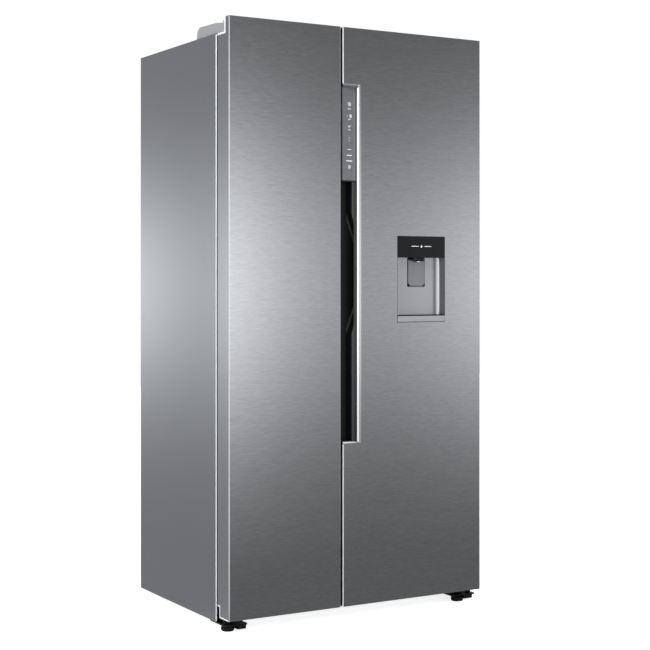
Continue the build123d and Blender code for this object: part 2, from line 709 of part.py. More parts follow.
def lamp_lenses():
    pieces = []
    for x0, x1 in (FREEZER_X, FRIDGE_X):
        cx, y = (x0 + x1) / 2, SHELF_FRONT + LENS_SETBACK
        lens = block(cx - LENS_WIDTH / 2, cx + LENS_WIDTH / 2, y, y + LENS_DEPTH,
                     CEILING - LENS_HEIGHT, CEILING)
        pieces.append(chamfer(lens.faces().sort_by(Axis.Z)[0].edges(), LENS_HEIGHT / 2))
    return group(pieces)


def cord_gland():
    """Bush in the machine cover where the mains lead leaves."""
    x, z, rear = RIGHT - GLAND_INSET, BASE_TOP + GLAND_RISE, REAR - LOUVRE_SHEET
    bush = rod_y(x, rear - GLAND_LENGTH, rear, z, GLAND_RADIUS)
    return bush - rod_y(x, rear - GLAND_LENGTH - 1, rear + 1, z, GLAND_BORE)


# Shelves, drawers and bins


def shelf_spans():
    """Span, level and rear line of every glass plate."""
    spans = [(FREEZER_X, z, COVER_FRONT - 4) for z in shelf_levels(FREEZER_SHELVES)]
    return spans + [(FRIDGE_X, z, INNER_BACK - DUCT_DEPTH - 6) for z in shelf_levels(FRIDGE_SHELVES)]


def glass_shelves():
    return group([block(x0 + SHELF_SIDE_AIR, x1 - SHELF_SIDE_AIR,
                        SHELF_FRONT + SHELF_TRIM_FACE, rear, z, z + GLASS)
                  for (x0, x1), z, rear in shelf_spans()])


def shelf_trims():
    pieces = []
    for (x0, x1), z, _ in shelf_spans():
        bar = block(x0 + SHELF_SIDE_AIR, x1 - SHELF_SIDE_AIR, SHELF_FRONT, SHELF_FRONT + SHELF_TRIM_DEPTH,
                    z - SHELF_TRIM_BELOW, z + GLASS + SHELF_TRIM_ABOVE)
        bar = fillet(bar.edges().filter_by(Axis.X).group_by(Axis.Y)[0], SHELF_TRIM_RADIUS)
        pieces.append(bar - block(x0, x1, SHELF_FRONT + SHELF_TRIM_FACE, SHELF_FRONT + 2 * SHELF_TRIM_DEPTH,
                                  z, z + GLASS))
    return group(pieces)


def tub(x0, x1, y0, y1, z0, z1):
    """Open box with drafted walls; the sizes given are those of the rim."""
    spread = tan(radians(TUB_DRAFT)) * (z1 - z0)
    cx, cy = (x0 + x1) / 2, (y0 + y1) / 2
    wide, deep = x1 - x0 - 2 * spread, y1 - y0 - 2 * spread
    outer = extrude(Pos(cx, cy, z0) * Rectangle(wide, deep), amount=z1 - z0, taper=-TUB_DRAFT)
    lift = tan(radians(TUB_DRAFT)) * TUB_WALL
    hollow = Rectangle(wide - 2 * TUB_WALL + 2 * lift, deep - 2 * TUB_WALL + 2 * lift)
    return outer - extrude(Pos(cx, cy, z0 + TUB_WALL) * hollow, amount=z1 - z0, taper=-TUB_DRAFT)


def drawer(span, level, rear):
    """Drawer on side runners with a deeper front and a grip slot."""
    x0, x1 = span[0] + RIB + SHELF_SIDE_AIR, span[1] - RIB - SHELF_SIDE_AIR
    y0 = SHELF_FRONT + DRAWER_SETBACK
    z0, z1 = level
    body = tub(x0, x1, y0 + 4, rear, z0, z1)
    for a, b in ((span[0] + 1, x0 + 2), (x1 - 2, span[1] - 1)):
        body += block(a, b, y0 + 4, rear, z1 - RIB_HEIGHT, z1)
    front = block(span[0] + 2 * SHELF_SIDE_AIR, span[1] - 2 * SHELF_SIDE_AIR, y0, y0 + DRAWER_FRONT, z0, z1)
    front = fillet(front.edges().filter_by(Axis.Y), DRAWER_FRONT_RADIUS)
    body += front
    cx = (x0 + x1) / 2
    slot = Pos(cx, y0, z1 - DRAWER_SLOT_DROP) * Box(DRAWER_SLOT_WIDTH, 6 * DRAWER_FRONT, DRAWER_SLOT_HEIGHT)
    return body - fillet(slot.edges().filter_by(Axis.Y), DRAWER_SLOT_RADIUS)


def freezer_drawer_lower():
    return drawer(FREEZER_X, drawer_levels()[0], HUMP_FRONT - 20)


def freezer_drawer_upper():
    return drawer(FREEZER_X, drawer_levels()[1], COVER_FRONT - 8)


def crisper_lower():
    return drawer(FRIDGE_X, drawer_levels()[0], HUMP_FRONT - 20)


def crisper_upper():
    return drawer(FRIDGE_X, drawer_levels()[1], INNER_BACK - DUCT_DEPTH - 8)


# Doors


def bin_levels(door):
    """Underside of each bin; the wide door leaves room for the water tank."""
    low, high = FLOOR_HEIGHT + 40, CEILING - 190
    if door.hinge_left:
        pitch = (high - low) / (FREEZER_BINS - 1)
        return [low + i * pitch for i in range(FREEZER_BINS)]
    return [low, low + 0.36 * (TANK_BASE - low), low + 0.7 * (TANK_BASE - low), high]


def bay_x(door):
    """Inner faces of the two upright dikes, where bins hang."""
    return door.dike_x[0] + DIKE_WIDTH, door.dike_x[1] - DIKE_WIDTH


def door_bins(door):
    x0, x1 = bay_x(door)
    return group([tub(x0, x1, DOOR_REAR, DOOR_REAR + BIN_DEPTH, z, z + BIN_HEIGHT)
                  for z in bin_levels(door)])


def door_skin(door):
    """Folded front sheet with both sides; stepped at the top and notched at the bottom."""
    x0, x1 = door.x0, door.x1
    outer = block(x0, x1, FACE, DOOR_REAR, DOOR_CLEARANCE, HEIGHT)
    outer = fillet(front_uprights(outer), DOOR_EDGE_RADIUS)
    inner = block(x0 + SHEET, x1 - SHEET, FACE + SHEET, DOOR_REAR + 1, 0, HEIGHT + 1)
    inner = fillet(front_uprights(inner), DOOR_EDGE_RADIUS - SHEET)
    skin = outer - inner
    skin -= block(x0 - 1, x1 + 1, FACE + SKIN_LIP, DOOR_REAR + 1, DOOR_STEP - TOP_CAP, HEIGHT + 1)
    skin -= block(x0 - 1, x1 + 1, FACE + DOOR_EDGE_RADIUS, DOOR_REAR + 1, 0, DOOR_CLEARANCE + BOTTOM_CAP)
    return skin - block(x0 - 1, x1 + 1, FACE + FOOT_NOTCH_SETBACK - BOTTOM_CAP, DOOR_REAR + 1,
                        0, FOOT_NOTCH_HEIGHT + BOTTOM_CAP)


def door_top_cap(door):
    """Moulded end with the raised lip and the bored boss for the hinge pin."""
    x0, x1 = door.x0, door.x1
    cap = block(x0, x1, FACE + SKIN_LIP, DOOR_REAR, DOOR_STEP - TOP_CAP, DOOR_STEP)
    cap += block(x0, x1, FACE + SKIN_LIP, FACE + CAP_LIP, DOOR_STEP - TOP_CAP, HEIGHT)
    for z in (DOOR_STEP, HEIGHT):
        shelf = block(x0 + SHEET, x1 - SHEET, FACE + SHEET, FACE + SKIN_LIP, z - TOP_CAP, z)
        cap += chamfer(front_uprights(shelf), DOOR_EDGE_RADIUS)
    cap += post(door.hinge_x, HINGE_Y, DOOR_STEP - PIN_REACH - 6, DOOR_STEP, BOSS_RADIUS)
    return cap - post(door.hinge_x, HINGE_Y, DOOR_STEP - PIN_REACH - 2, DOOR_STEP + 1,
                      PIN_RADIUS + PIN_AIR)


def door_bottom_cap(door):
    """Moulded end with the notch over the lower hinge and the bored boss for its pin."""
    x0, x1 = door.x0, door.x1
    z0, notch_y = DOOR_CLEARANCE, FACE + FOOT_NOTCH_SETBACK
    cap = block(x0, x1, FACE + DOOR_EDGE_RADIUS, notch_y, z0, z0 + BOTTOM_CAP)
    cap += block(x0, x1, notch_y - BOTTOM_CAP, notch_y, z0, FOOT_NOTCH_HEIGHT + BOTTOM_CAP)
    cap += block(x0, x1, notch_y - BOTTOM_CAP, DOOR_REAR, FOOT_NOTCH_HEIGHT,
                 FOOT_NOTCH_HEIGHT + BOTTOM_CAP)
    cap += post(door.hinge_x, HINGE_Y, z0, z0 + PIN_REACH + 6, BOSS_RADIUS)
    return cap - post(door.hinge_x, HINGE_Y, z0 - 1, z0 + PIN_REACH + 2, PIN_RADIUS + PIN_AIR)


def door_foam(door):
    """Insulation between the skin, the liner and the two caps."""
    x0, x1 = door.x0 + SHEET, door.x1 - SHEET
    body = block(x0, x1, FACE + SHEET, DOOR_REAR - LINER, DOOR_CLEARANCE + BOTTOM_CAP,
                 DOOR_STEP - TOP_CAP)
    body = chamfer(front_uprights(body), DOOR_EDGE_RADIUS)
    body -= block(x0 - 1, x1 + 1, FACE + FOOT_NOTCH_SETBACK - BOTTOM_CAP, DOOR_REAR, 0,
                  FOOT_NOTCH_HEIGHT + BOTTOM_CAP)
    body -= post(door.hinge_x, HINGE_Y, 0, DOOR_CLEARANCE + PIN_REACH + 6, BOSS_RADIUS)
    return body - post(door.hinge_x, HINGE_Y, DOOR_STEP - PIN_REACH - 6, HEIGHT, BOSS_RADIUS)


def door_liner(door):
    """Inner sheet with a raised frame of hollow dikes and the lugs that carry the bins."""
    x0, x1 = door.x0 + SHEET, door.x1 - SHEET
    sheet = block(x0, x1, DOOR_REAR - LINER, DOOR_REAR, FOOT_NOTCH_HEIGHT + BOTTOM_CAP,
                  DOOR_STEP - TOP_CAP)
    d0, d1 = door.dike_x
    z0, z1 = FLOOR_HEIGHT + DIKE_END_AIR, CEILING - DIKE_END_AIR
    b0, b1 = bay_x(door)
    frame = block(d0, d1, DOOR_REAR, DOOR_REAR + DIKE_HEIGHT, z0, z1)
    frame = fillet(frame.edges().filter_by(Axis.Y), 10)
    frame -= block(b0, b1, DOOR_REAR - 1, DOOR_REAR + DIKE_HEIGHT + 1, z0 + DIKE_WIDTH, z1 - DIKE_WIDTH)
    wall = LINER
    hollow = block(d0 + wall, d1 - wall, DOOR_REAR - LINER - 1, DOOR_REAR + DIKE_HEIGHT - wall,
                   z0 + wall, z1 - wall)
    hollow = fillet(hollow.edges().filter_by(Axis.Y), 10 - wall)
    hollow -= block(b0 - wall, b1 + wall, DOOR_REAR - 9, DOOR_REAR + DIKE_HEIGHT,
                    z0 + DIKE_WIDTH - wall, z1 - DIKE_WIDTH + wall)
    shell = sheet + frame - hollow
    levels = bin_levels(door) if door.hinge_left else bin_levels(door) + [TANK_BASE]
    for z in levels:
        for a, b in ((b0, b0 + 10), (b1 - 10, b1)):
            shell += block(a, b, DOOR_REAR, DOOR_REAR + DIKE_HEIGHT, z - 6, z)
    return shell


def door_gasket(door):
    """Grooved seal round the inner face of the door."""
    x0, x1 = door.seal_x
    z0, z1 = FOOT_NOTCH_HEIGHT + BOTTOM_CAP + 6, DOOR_STEP - TOP_CAP - 8
    thick = SEAL_GAP - SEAL_AIR
    ring = block(x0, x1, DOOR_REAR, DOOR_REAR + thick, z0, z1)
    deep = SEAL_GROOVE
    groove = ring - block(x0 + deep, x1 - deep, DOOR_REAR - 1, CASE_FRONT, z0 + deep, z1 - deep)
    groove &= block(x0 - 1, x1 + 1, DOOR_REAR + SEAL_GROOVE_START, DOOR_REAR + SEAL_GROOVE_END, z0 - 1, z1 + 1)
    return ring - block(x0 + SEAL_WIDTH, x1 - SEAL_WIDTH, DOOR_REAR - 1, CASE_FRONT,
                        z0 + SEAL_WIDTH, z1 - SEAL_WIDTH) - groove


def side_window():
    """Opening in the narrow door's inner side for its finger grip."""
    x1 = FREEZER_DOOR.x1
    return block(x1 - SIDE_GRIP_REACH, x1 + 1, FACE + SIDE_GRIP_FRONT, FACE + GRIP_DEPTH,
                 NOTCH_BOTTOM, PANEL_BOTTOM)


def freezer_door_skin():
    return door_skin(FREEZER_DOOR) - side_window()


def freezer_door_foam():
    return door_foam(FREEZER_DOOR) - side_window()


def freezer_door_handle():
    """Moulded finger pocket let into the inner side of the narrow door."""
    x1 = FREEZER_DOOR.x1
    y0, y1 = FACE + SIDE_GRIP_FRONT, FACE + GRIP_DEPTH
    pocket = block(x1 - SIDE_GRIP_REACH, x1, y0, y1, NOTCH_BOTTOM, PANEL_BOTTOM)
    hollow = block(x1 - SIDE_GRIP_REACH + GRIP_WALL, x1 + 20, y0 + GRIP_WALL, y1 - GRIP_WALL,
                   NOTCH_BOTTOM + GRIP_WALL, PANEL_BOTTOM - GRIP_WALL)
    edges = hollow.edges().filter_by(Axis.Z).group_by(Axis.X)[0]
    return pocket - fillet(edges, 9)


def freezer_door_liner():
    return door_liner(FREEZER_DOOR)


def freezer_door_top_cap():
    return door_top_cap(FREEZER_DOOR)


def freezer_door_bottom_cap():
    return door_bottom_cap(FREEZER_DOOR)


def freezer_door_gasket():
    return door_gasket(FREEZER_DOOR)


def freezer_door_bins():
    return door_bins(FREEZER_DOOR)


def grip_recess():
    """Space taken by the trim, the grip channel and the control panel."""
    x0 = FRIDGE_DOOR.x0
    space = block(x0 - 1, NOTCH_EDGE, FACE - 1, FACE + TRIM_DEPTH, NOTCH_BOTTOM, NOTCH_TOP)
    return space + block(x0 - 1, GRIP_INNER + GRIP_UNDERCUT, FACE + TRIM_DEPTH, FACE + GRIP_DEPTH,
                         NOTCH_BOTTOM, NOTCH_TOP)


def paddle_pocket(grow):
    """Pocket in the niche's back that the paddle swings into, enlarged by grow."""
    half = PADDLE_WIDTH / 2 + PADDLE_AIR + grow
    low = FASCIA_BOTTOM - PADDLE_PIVOT_DROP - PADDLE_HEIGHT - PADDLE_AIR - grow
    return block(DISPENSER_X - half, DISPENSER_X + half,
                 NICHE_BACK - 1, FACE + DISPENSER_DEPTH - DISPENSER_WALL + grow,
                 low, FASCIA_BOTTOM + grow)


def dispenser_space():
    """Space taken by the dispenser's housing."""
    front = block(DISPENSER_X0, DISPENSER_X1, FACE - 1, NICHE_BACK + DISPENSER_WALL,
                  DISPENSER_BOTTOM, DISPENSER_TOP)
    return front + paddle_pocket(DISPENSER_WALL)


def fridge_door_skin():
    skin = door_skin(FRIDGE_DOOR) - dispenser_space()
    x0 = FRIDGE_DOOR.x0
    skin -= block(x0 - 1, NOTCH_EDGE, FACE - 1, FACE + TRIM_DEPTH, NOTCH_BOTTOM, NOTCH_TOP)
    return skin - block(x0 - 1, x0 + 2, FACE - 1, FACE + GRIP_DEPTH, NOTCH_BOTTOM, NOTCH_TOP)


def fridge_door_foam():
    return door_foam(FRIDGE_DOOR) - grip_recess() - dispenser_space()


def fridge_door_liner():
    return door_liner(FRIDGE_DOOR)


def fridge_door_top_cap():
    return door_top_cap(FRIDGE_DOOR)


def fridge_door_bottom_cap():
    return door_bottom_cap(FRIDGE_DOOR)


def fridge_door_gasket():
    return door_gasket(FRIDGE_DOOR)


def fridge_door_bins():
    return door_bins(FRIDGE_DOOR)


def scoop_reach():
    """How far the slanted ends of the finger scoop run on behind the trim, measured upright."""
    return SCOOP_TAPER * (GRIP_UNDERCUT - GRIP_CHEEK) / NOSE_RADIUS


def fridge_door_handle():
    """Open channel with a rounded flank, which a scoop for the fingers cuts away behind the trim."""
    x0 = FRIDGE_DOOR.x0
    y0, y1 = FACE + TRIM_DEPTH, FACE + GRIP_DEPTH
    x1 = GRIP_INNER + GRIP_UNDERCUT
    body = block(x0, x1, y0, y1, NOTCH_BOTTOM, PANEL_BOTTOM)
    nose = CenterArc((GRIP_INNER, y0 + NOSE_LIP + NOSE_RADIUS), NOSE_RADIUS, 270, -90)
    rest = Polyline(nose @ 1, (GRIP_INNER - NOSE_RADIUS, y1 - GRIP_WALL), (x0 - 1, y1 - GRIP_WALL),
                    (x0 - 1, y0 - 1), (GRIP_INNER, y0 - 1), nose @ 0)
    low, high = NOTCH_BOTTOM + TRIM_BOTTOM, PANEL_BOTTOM - GRIP_WALL
    body -= extrude(Plane.XY.offset(low) * make_face([nose, rest]), amount=high - low)
    flank, inner = GRIP_INNER - NOSE_RADIUS, x1 - GRIP_CHEEK
    outline = [
        (x0 - 1, SCOOP_TOP + SCOOP_TAPER),
        (flank, SCOOP_TOP + SCOOP_TAPER),
        (inner, SCOOP_TOP - scoop_reach()),
        (inner, SCOOP_BOTTOM + scoop_reach()),
        (flank, SCOOP_BOTTOM - SCOOP_TAPER),
        (x0 - 1, SCOOP_BOTTOM - SCOOP_TAPER),
    ]
    scoop = prism_y(outline, y0 + SCOOP_FRONT_AIR, y1 - GRIP_WALL)
    scoop = fillet(scoop.edges().filter_by(Axis.Y).group_by(Axis.X)[-1], SCOOP_RADIUS)
    return body - fillet(scoop.edges().filter_by(Axis.Z).group_by(Axis.X)[-1], SCOOP_EDGE)


def trim_profile(inner, outer):
    """Section of a trim bar as (distance, y) points: a bevel to the ridge, and a lip if there is room."""
    side = 1 if outer > inner else -1
    rear = FACE + TRIM_DEPTH
    points = [(inner, rear), (inner, FACE + TRIM_INNER_DEPTH), (inner + side * TRIM_BEVEL, FACE - TRIM_PROUD)]
    if abs(outer - inner) > TRIM_BEVEL + 2 * TRIM_LIP:
        points += [(outer - side * TRIM_LIP, FACE + TRIM_GROOVE), (outer, FACE - TRIM_LIP_PROUD)]
    else:
        points += [(outer, FACE)]
    return points + [(outer, rear)]


def handle_trim():
    """Bevelled metal frame on three sides of the grip channel and control panel."""
    x0 = FRIDGE_DOOR.x0
    frame = prism_z(trim_profile(GRIP_INNER, NOTCH_EDGE), NOTCH_BOTTOM, NOTCH_TOP)
    for inner, outer in ((NOTCH_TOP - TRIM_TOP, NOTCH_TOP), (NOTCH_BOTTOM + TRIM_BOTTOM, NOTCH_BOTTOM)):
        bar = [(y, z) for z, y in trim_profile(inner, outer)]
        frame += prism_x(bar, x0, GRIP_INNER + TRIM_BEVEL)
    return frame


def control_panel():
    """Display block: a tilted front over the housing behind the trim."""
    x0, x1 = FRIDGE_DOOR.x0, GRIP_INNER + GRIP_UNDERCUT
    front, rear = FACE + PANEL_FRONT, FACE + GRIP_DEPTH
    points = [(x0, front), (GRIP_INNER, front + PANEL_TILT), (x1, front + PANEL_TILT), (x1, rear), (x0, rear)]
    face = prism_z(points, PANEL_BOTTOM, NOTCH_TOP - TRIM_TOP)
    return face + block(x0, x1, front + PANEL_TILT, rear, PANEL_BOTTOM, NOTCH_TOP)


def paddle_pivot():
    """Height and depth of the paddle's pivot line."""
    return FASCIA_BOTTOM - PADDLE_PIVOT_DROP, FACE + PADDLE_PIVOT_SETBACK


def nozzle_shape(grow, z0, z1):
    centre = Pos(DISPENSER_X, FACE + NOZZLE_SETBACK, z0)
    return extrude(centre * SlotOverall(NOZZLE_LENGTH + 2 * grow, NOZZLE_WIDTH + 2 * grow), amount=z1 - z0)


def dispenser_housing():
    """Niche with rounded corners, the paddle's pocket with its bearings and the seat of the drip tray."""
    x0, x1 = DISPENSER_X0, DISPENSER_X1
    body = block(x0, x1, FACE, NICHE_BACK + DISPENSER_WALL, DISPENSER_BOTTOM, DISPENSER_TOP)
    body += paddle_pocket(DISPENSER_WALL)
    body -= block(x0 - 1, x1 + 1, FACE - 1, FACE + FASCIA_DEPTH, FASCIA_BOTTOM, HEIGHT)
    body -= block(x0 - 1, x1 + 1, FACE - 1, FACE + TRAY_LIP, 0, NICHE_BOTTOM)
    inner0, inner1 = x0 + DISPENSER_WALL, x1 - DISPENSER_WALL
    niche = block(inner0, inner1, FACE - 10, NICHE_BACK, NICHE_BOTTOM, FASCIA_BOTTOM)
    body -= fillet(niche.edges().filter_by(Axis.Z).group_by(Axis.Y)[-1], NICHE_RADIUS)
    well = block(inner0, inner1, FACE - 10, NICHE_BACK, DISPENSER_BOTTOM + DISPENSER_WALL,
                 NICHE_BOTTOM + 1)
    body -= fillet(well.edges().filter_by(Axis.Z).group_by(Axis.Y)[-1], NICHE_RADIUS)
    body -= paddle_pocket(0)
    z, y = paddle_pivot()
    half = PADDLE_WIDTH / 2 + PADDLE_AIR + DISPENSER_WALL
    body -= rod_x(DISPENSER_X - half - 1, DISPENSER_X + half + 1, y, z, PADDLE_PIVOT_RADIUS + PIN_AIR)
    return body - nozzle_shape(0, FASCIA_BOTTOM - 1, FASCIA_BOTTOM + 20)


def dispenser_fascia():
    body = block(DISPENSER_X0, DISPENSER_X1, FACE - 1, FACE + FASCIA_DEPTH, FASCIA_BOTTOM, DISPENSER_TOP)
    return fillet(body.edges().filter_by(Axis.X).group_by(Axis.Y)[0], 0.8)


def dispenser_nozzle():
    tip = nozzle_shape(0, FASCIA_BOTTOM - NOZZLE_DROP, FASCIA_BOTTOM + 20)
    tip = chamfer(tip.faces().sort_by(Axis.Z)[0].edges(), NOZZLE_CHAMFER)
    return tip - post(DISPENSER_X, FACE + NOZZLE_SETBACK, 0, FASCIA_BOTTOM + NOZZLE_BORE_DEPTH, NOZZLE_BORE)


def dispenser_paddle():
    """Rounded lever hanging from its pivot at the top of the niche."""
    z, y = paddle_pivot()
    half = PADDLE_WIDTH / 2
    front = FACE + PADDLE_SETBACK
    plate = block(DISPENSER_X - half, DISPENSER_X + half, front, front + PADDLE_THICKNESS,
                  z - PADDLE_HEIGHT, z)
    corners = plate.edges().filter_by(Axis.Y).group_by(Axis.Z)[0]
    plate = fillet(corners, PADDLE_RADIUS)
    plate += rod_x(DISPENSER_X - half, DISPENSER_X + half, y, z, PADDLE_PIVOT_RADIUS + 1)
    reach = half + PADDLE_AIR + DISPENSER_WALL
    return plate + rod_x(DISPENSER_X - reach, DISPENSER_X + reach, y, z, PADDLE_PIVOT_RADIUS)


def drip_tray():
    """Pull-out tray with its front lip and the grille over it."""
    x0, x1 = DISPENSER_X0, DISPENSER_X1
    top = NICHE_BOTTOM - TRAY_AIR
    lip = block(x0 + TRAY_AIR, x1 - TRAY_AIR, FACE - 1, FACE + TRAY_LIP - TRAY_AIR,
                DISPENSER_BOTTOM + TRAY_AIR, top)
    lip = fillet(lip.edges().filter_by(Axis.X).group_by(Axis.Y)[0], 1.0)
    a, b = x0 + DISPENSER_WALL + TRAY_AIR, x1 - DISPENSER_WALL - TRAY_AIR
    y0, y1 = FACE + TRAY_LIP - TRAY_AIR, NICHE_BACK - TRAY_AIR
    z0 = DISPENSER_BOTTOM + DISPENSER_WALL + TRAY_AIR
    pan = block(a, b, y0, y1, z0, top)
    pan = fillet(pan.edges().filter_by(Axis.Z).group_by(Axis.Y)[-1], NICHE_RADIUS)
    hollow = block(a + 4, b - 4, y0 + 4, y1 - 4, z0 + 2, top + 1)
    hollow = fillet(hollow.edges().filter_by(Axis.Z).group_by(Axis.Y)[-1], NICHE_RADIUS - 4)
    bars = 11
    grille = None
    for i in range(bars):
        x = a + (b - a) * (i + 1) / (bars + 1)
        bar = block(x - 2, x + 2, y0 + 2, y1 - 2, top - 4, top)
        grille = bar if grille is None else grille + bar
    return lip + (pan - hollow) + (grille & pan)


def tank_span():
    return bay_x(FRIDGE_DOOR)


def water_tank():
    """Drinking-water tank hung on the door above the dispenser valve."""
    x0, x1 = tank_span()
    tank = block(x0, x1, DOOR_REAR, DOOR_REAR + BIN_DEPTH, TANK_BASE, TANK_BASE + TANK_HEIGHT)
    tank = fillet(tank.edges().filter_by(Axis.Z).group_by(Axis.Y)[-1], 14)
    hollow = block(x0 + TUB_WALL, x1 - TUB_WALL, DOOR_REAR + TUB_WALL, DOOR_REAR + BIN_DEPTH - TUB_WALL,
                   TANK_BASE + TUB_WALL, TANK_BASE + TANK_HEIGHT + 1)
    return tank - fillet(hollow.edges().filter_by(Axis.Z).group_by(Axis.Y)[-1], 14 - TUB_WALL)


def tank_lid():
    """Hinged lid of the tank."""
    x0, x1 = tank_span()
    z0 = TANK_BASE + TANK_HEIGHT + 0.3
    lid = block(x0 + 1, x1 - 1, DOOR_REAR + 1.5, DOOR_REAR + BIN_DEPTH, z0, z0 + TANK_LID)
    lid = fillet(lid.edges().filter_by(Axis.Z).group_by(Axis.Y)[-1], 14)
    return lid - Pos((x0 + x1) / 2, DOOR_REAR + BIN_DEPTH - 12, z0 + TANK_LID) * Box(70, 14, 8)


# Hinges, feet and rollers


def top_hinge(door):
    """Plate on the cabinet roof whose arm carries the pin over the door."""
    x, side = door.hinge_x, 1 if door.hinge_left else -1
    a, b = sorted((x - side * HINGE_OUTBOARD, x + side * HINGE_INBOARD))
    plate = block(a, b, HINGE_Y + HINGE_NOSE_RADIUS, HINGE_Y + HINGE_REACH, CASE_TOP, CASE_TOP + HINGE_PLATE)
    a, b = sorted((x - side * HINGE_OUTBOARD, x + side * HINGE_NOSE_RADIUS))
    plate += block(a, b, HINGE_Y, HINGE_Y + HINGE_NOSE_RADIUS + 1, CASE_TOP, CASE_TOP + HINGE_PLATE)
    plate += post(x, HINGE_Y, CASE_TOP, CASE_TOP + HINGE_PLATE, HINGE_NOSE_RADIUS)
    return plate + post(x, HINGE_Y, DOOR_STEP - PIN_REACH, CASE_TOP + 12, PIN_RADIUS)


def top_hinges():
    return group([top_hinge(FREEZER_DOOR), top_hinge(FRIDGE_DOOR)])


def cover_form(door, inset):
    """Form of a hinge cover, shrunk by inset: a low box falling to the front, a post over the pin."""
    x, side = door.hinge_x, 1 if door.hinge_left else -1
    outboard = x - side * (COVER_OUTBOARD - inset)
    a, b = sorted((outboard, x + side * (COVER_INBOARD - inset)))
    front, rear = HINGE_Y + COVER_FRONT_SETBACK + inset, HINGE_Y + COVER_REACH - inset
    top = CASE_TOP + COVER_HEIGHT - inset
    profile = [
        (front, CASE_TOP),
        (rear, CASE_TOP),
        (rear, top),
        (CASE_FRONT + COVER_BREAK, top - COVER_BREAK_FALL),
        (front, top - COVER_FRONT_FALL),
    ]
    form = prism_x(profile, a, b, COVER_REAR_RADIUS - inset, (2,))
    a, b = sorted((outboard, x + side * (COVER_NOSE_RADIUS - inset)))
    form += block(a, b, HINGE_Y, front + 1, CASE_TOP, CASE_TOP + COVER_NOSE_HEIGHT - inset)
    form += post(x, HINGE_Y, CASE_TOP, CASE_TOP + COVER_NOSE_HEIGHT - inset, COVER_NOSE_RADIUS - inset)
    half = COVER_POST_RADIUS - inset
    form += block(x - half, x + half, HINGE_Y, front + 1, CASE_TOP, CASE_TOP + COVER_BRIDGE_HEIGHT - inset)
    return form + post(x, HINGE_Y, CASE_TOP, top - COVER_POST_FALL, half)


def hinge_cover(door):
    """Hollow cap over a top hinge, rounded at the rear."""
    return cover_form(door, 0) - cover_form(door, COVER_WALL)


def hinge_covers():
    return group([hinge_cover(FREEZER_DOOR), hinge_cover(FRIDGE_DOOR)])


def foot_spots():
    """Plan position of the left and the right front foot."""
    left = LEFT + LEFT_FOOT_INSET, FACE + LEFT_FOOT_SETBACK
    right = RIGHT - RIGHT_FOOT_INSET, FACE + RIGHT_FOOT_SETBACK
    return left, right


def lower_hinge(x0, x1, pin_x, foot, pad):
    """Bracket under the cabinet: plate, upright flange, pin with shoulder and a folded pad."""
    plate = block(x0, x1, FACE + LOWER_PLATE_FRONT, FACE + LOWER_PLATE_REACH, SKIRT - HINGE_PLATE, SKIRT)
    plate = fillet(plate.edges().filter_by(Axis.Z), LOWER_PLATE_RADIUS)
    f0, f1 = sorted((pin_x, pin_x + (LOWER_FLANGE_SETBACK if pin_x < 0 else -LOWER_FLANGE_SETBACK)))
    plate += block(f0, f1, CASE_FRONT - 3, CASE_FRONT, SKIRT - 1, SKIRT + LOWER_FLANGE_HEIGHT)
    plate += post(pin_x, HINGE_Y, SKIRT, DOOR_CLEARANCE - SHOULDER_AIR, SHOULDER_RADIUS)
    plate += block(pad[0], pad[1], FACE + PAD_FRONT, FACE + PAD_FRONT + PAD_DEPTH, PAD_RISE, SKIRT - 1)
    plate -= post(foot[0], foot[1], 0, SKIRT, STUD_RADIUS + PIN_AIR)
    return plate + post(pin_x, HINGE_Y, SKIRT, DOOR_CLEARANCE + PIN_REACH, PIN_RADIUS)


def lower_hinges():
    left, right = foot_spots()
    return group([
        lower_hinge(LEFT + LOWER_PLATE_EDGE, LEFT + LOWER_PLATE_EDGE + LEFT_PLATE_WIDTH,
                    FREEZER_DOOR.hinge_x, left,
                    (LEFT + LEFT_PAD_INSET, LEFT + LEFT_PAD_INSET + LEFT_PAD_WIDTH)),
        lower_hinge(RIGHT - LOWER_PLATE_EDGE - RIGHT_PLATE_WIDTH, RIGHT - LOWER_PLATE_EDGE,
                    FRIDGE_DOOR.hinge_x, right,
                    (RIGHT - RIGHT_PAD_INSET - RIGHT_PAD_WIDTH, RIGHT - RIGHT_PAD_INSET)),
    ])


def front_foot(spot):
    """Levelling foot: a rounded disc on a stud."""
    disc = post(spot[0], spot[1], 0, FOOT_HEIGHT, FOOT_RADIUS)
    disc = chamfer(disc.edges().filter_by(GeomType.CIRCLE).sort_by(Axis.Z)[0], FOOT_CHAMFER)
    return disc + post(spot[0], spot[1], FOOT_HEIGHT, SKIRT - 0.2, STUD_RADIUS)


def front_foot_left():
    return front_foot(foot_spots()[0])


def front_foot_right():
    return front_foot(foot_spots()[1])


def roller_spots():
    return (LEFT + ROLLER_INSET, BACK - ROLLER_SETBACK), (RIGHT - ROLLER_INSET, BACK - ROLLER_SETBACK)


def roller_brackets():
    """Forks under the base pan, each with its axle."""
    pieces = []
    for x, y in roller_spots():
        half = ROLLER_WIDTH / 2 + FORK_AIR
        fork = block(x - half - CHEEK, x + half + CHEEK, y - FORK_DEPTH / 2, y + FORK_DEPTH / 2,
                     ROLLER_RADIUS - FORK_DROP, BASE_HEIGHT)
        fork -= block(x - half, x + half, y - FORK_DEPTH, y + FORK_DEPTH, 0, BASE_HEIGHT - CHEEK)
        fork += rod_x(x - half - CHEEK, x + half + CHEEK, y, ROLLER_RADIUS, AXLE_RADIUS)
        pieces.append(fork)
    return group(pieces)


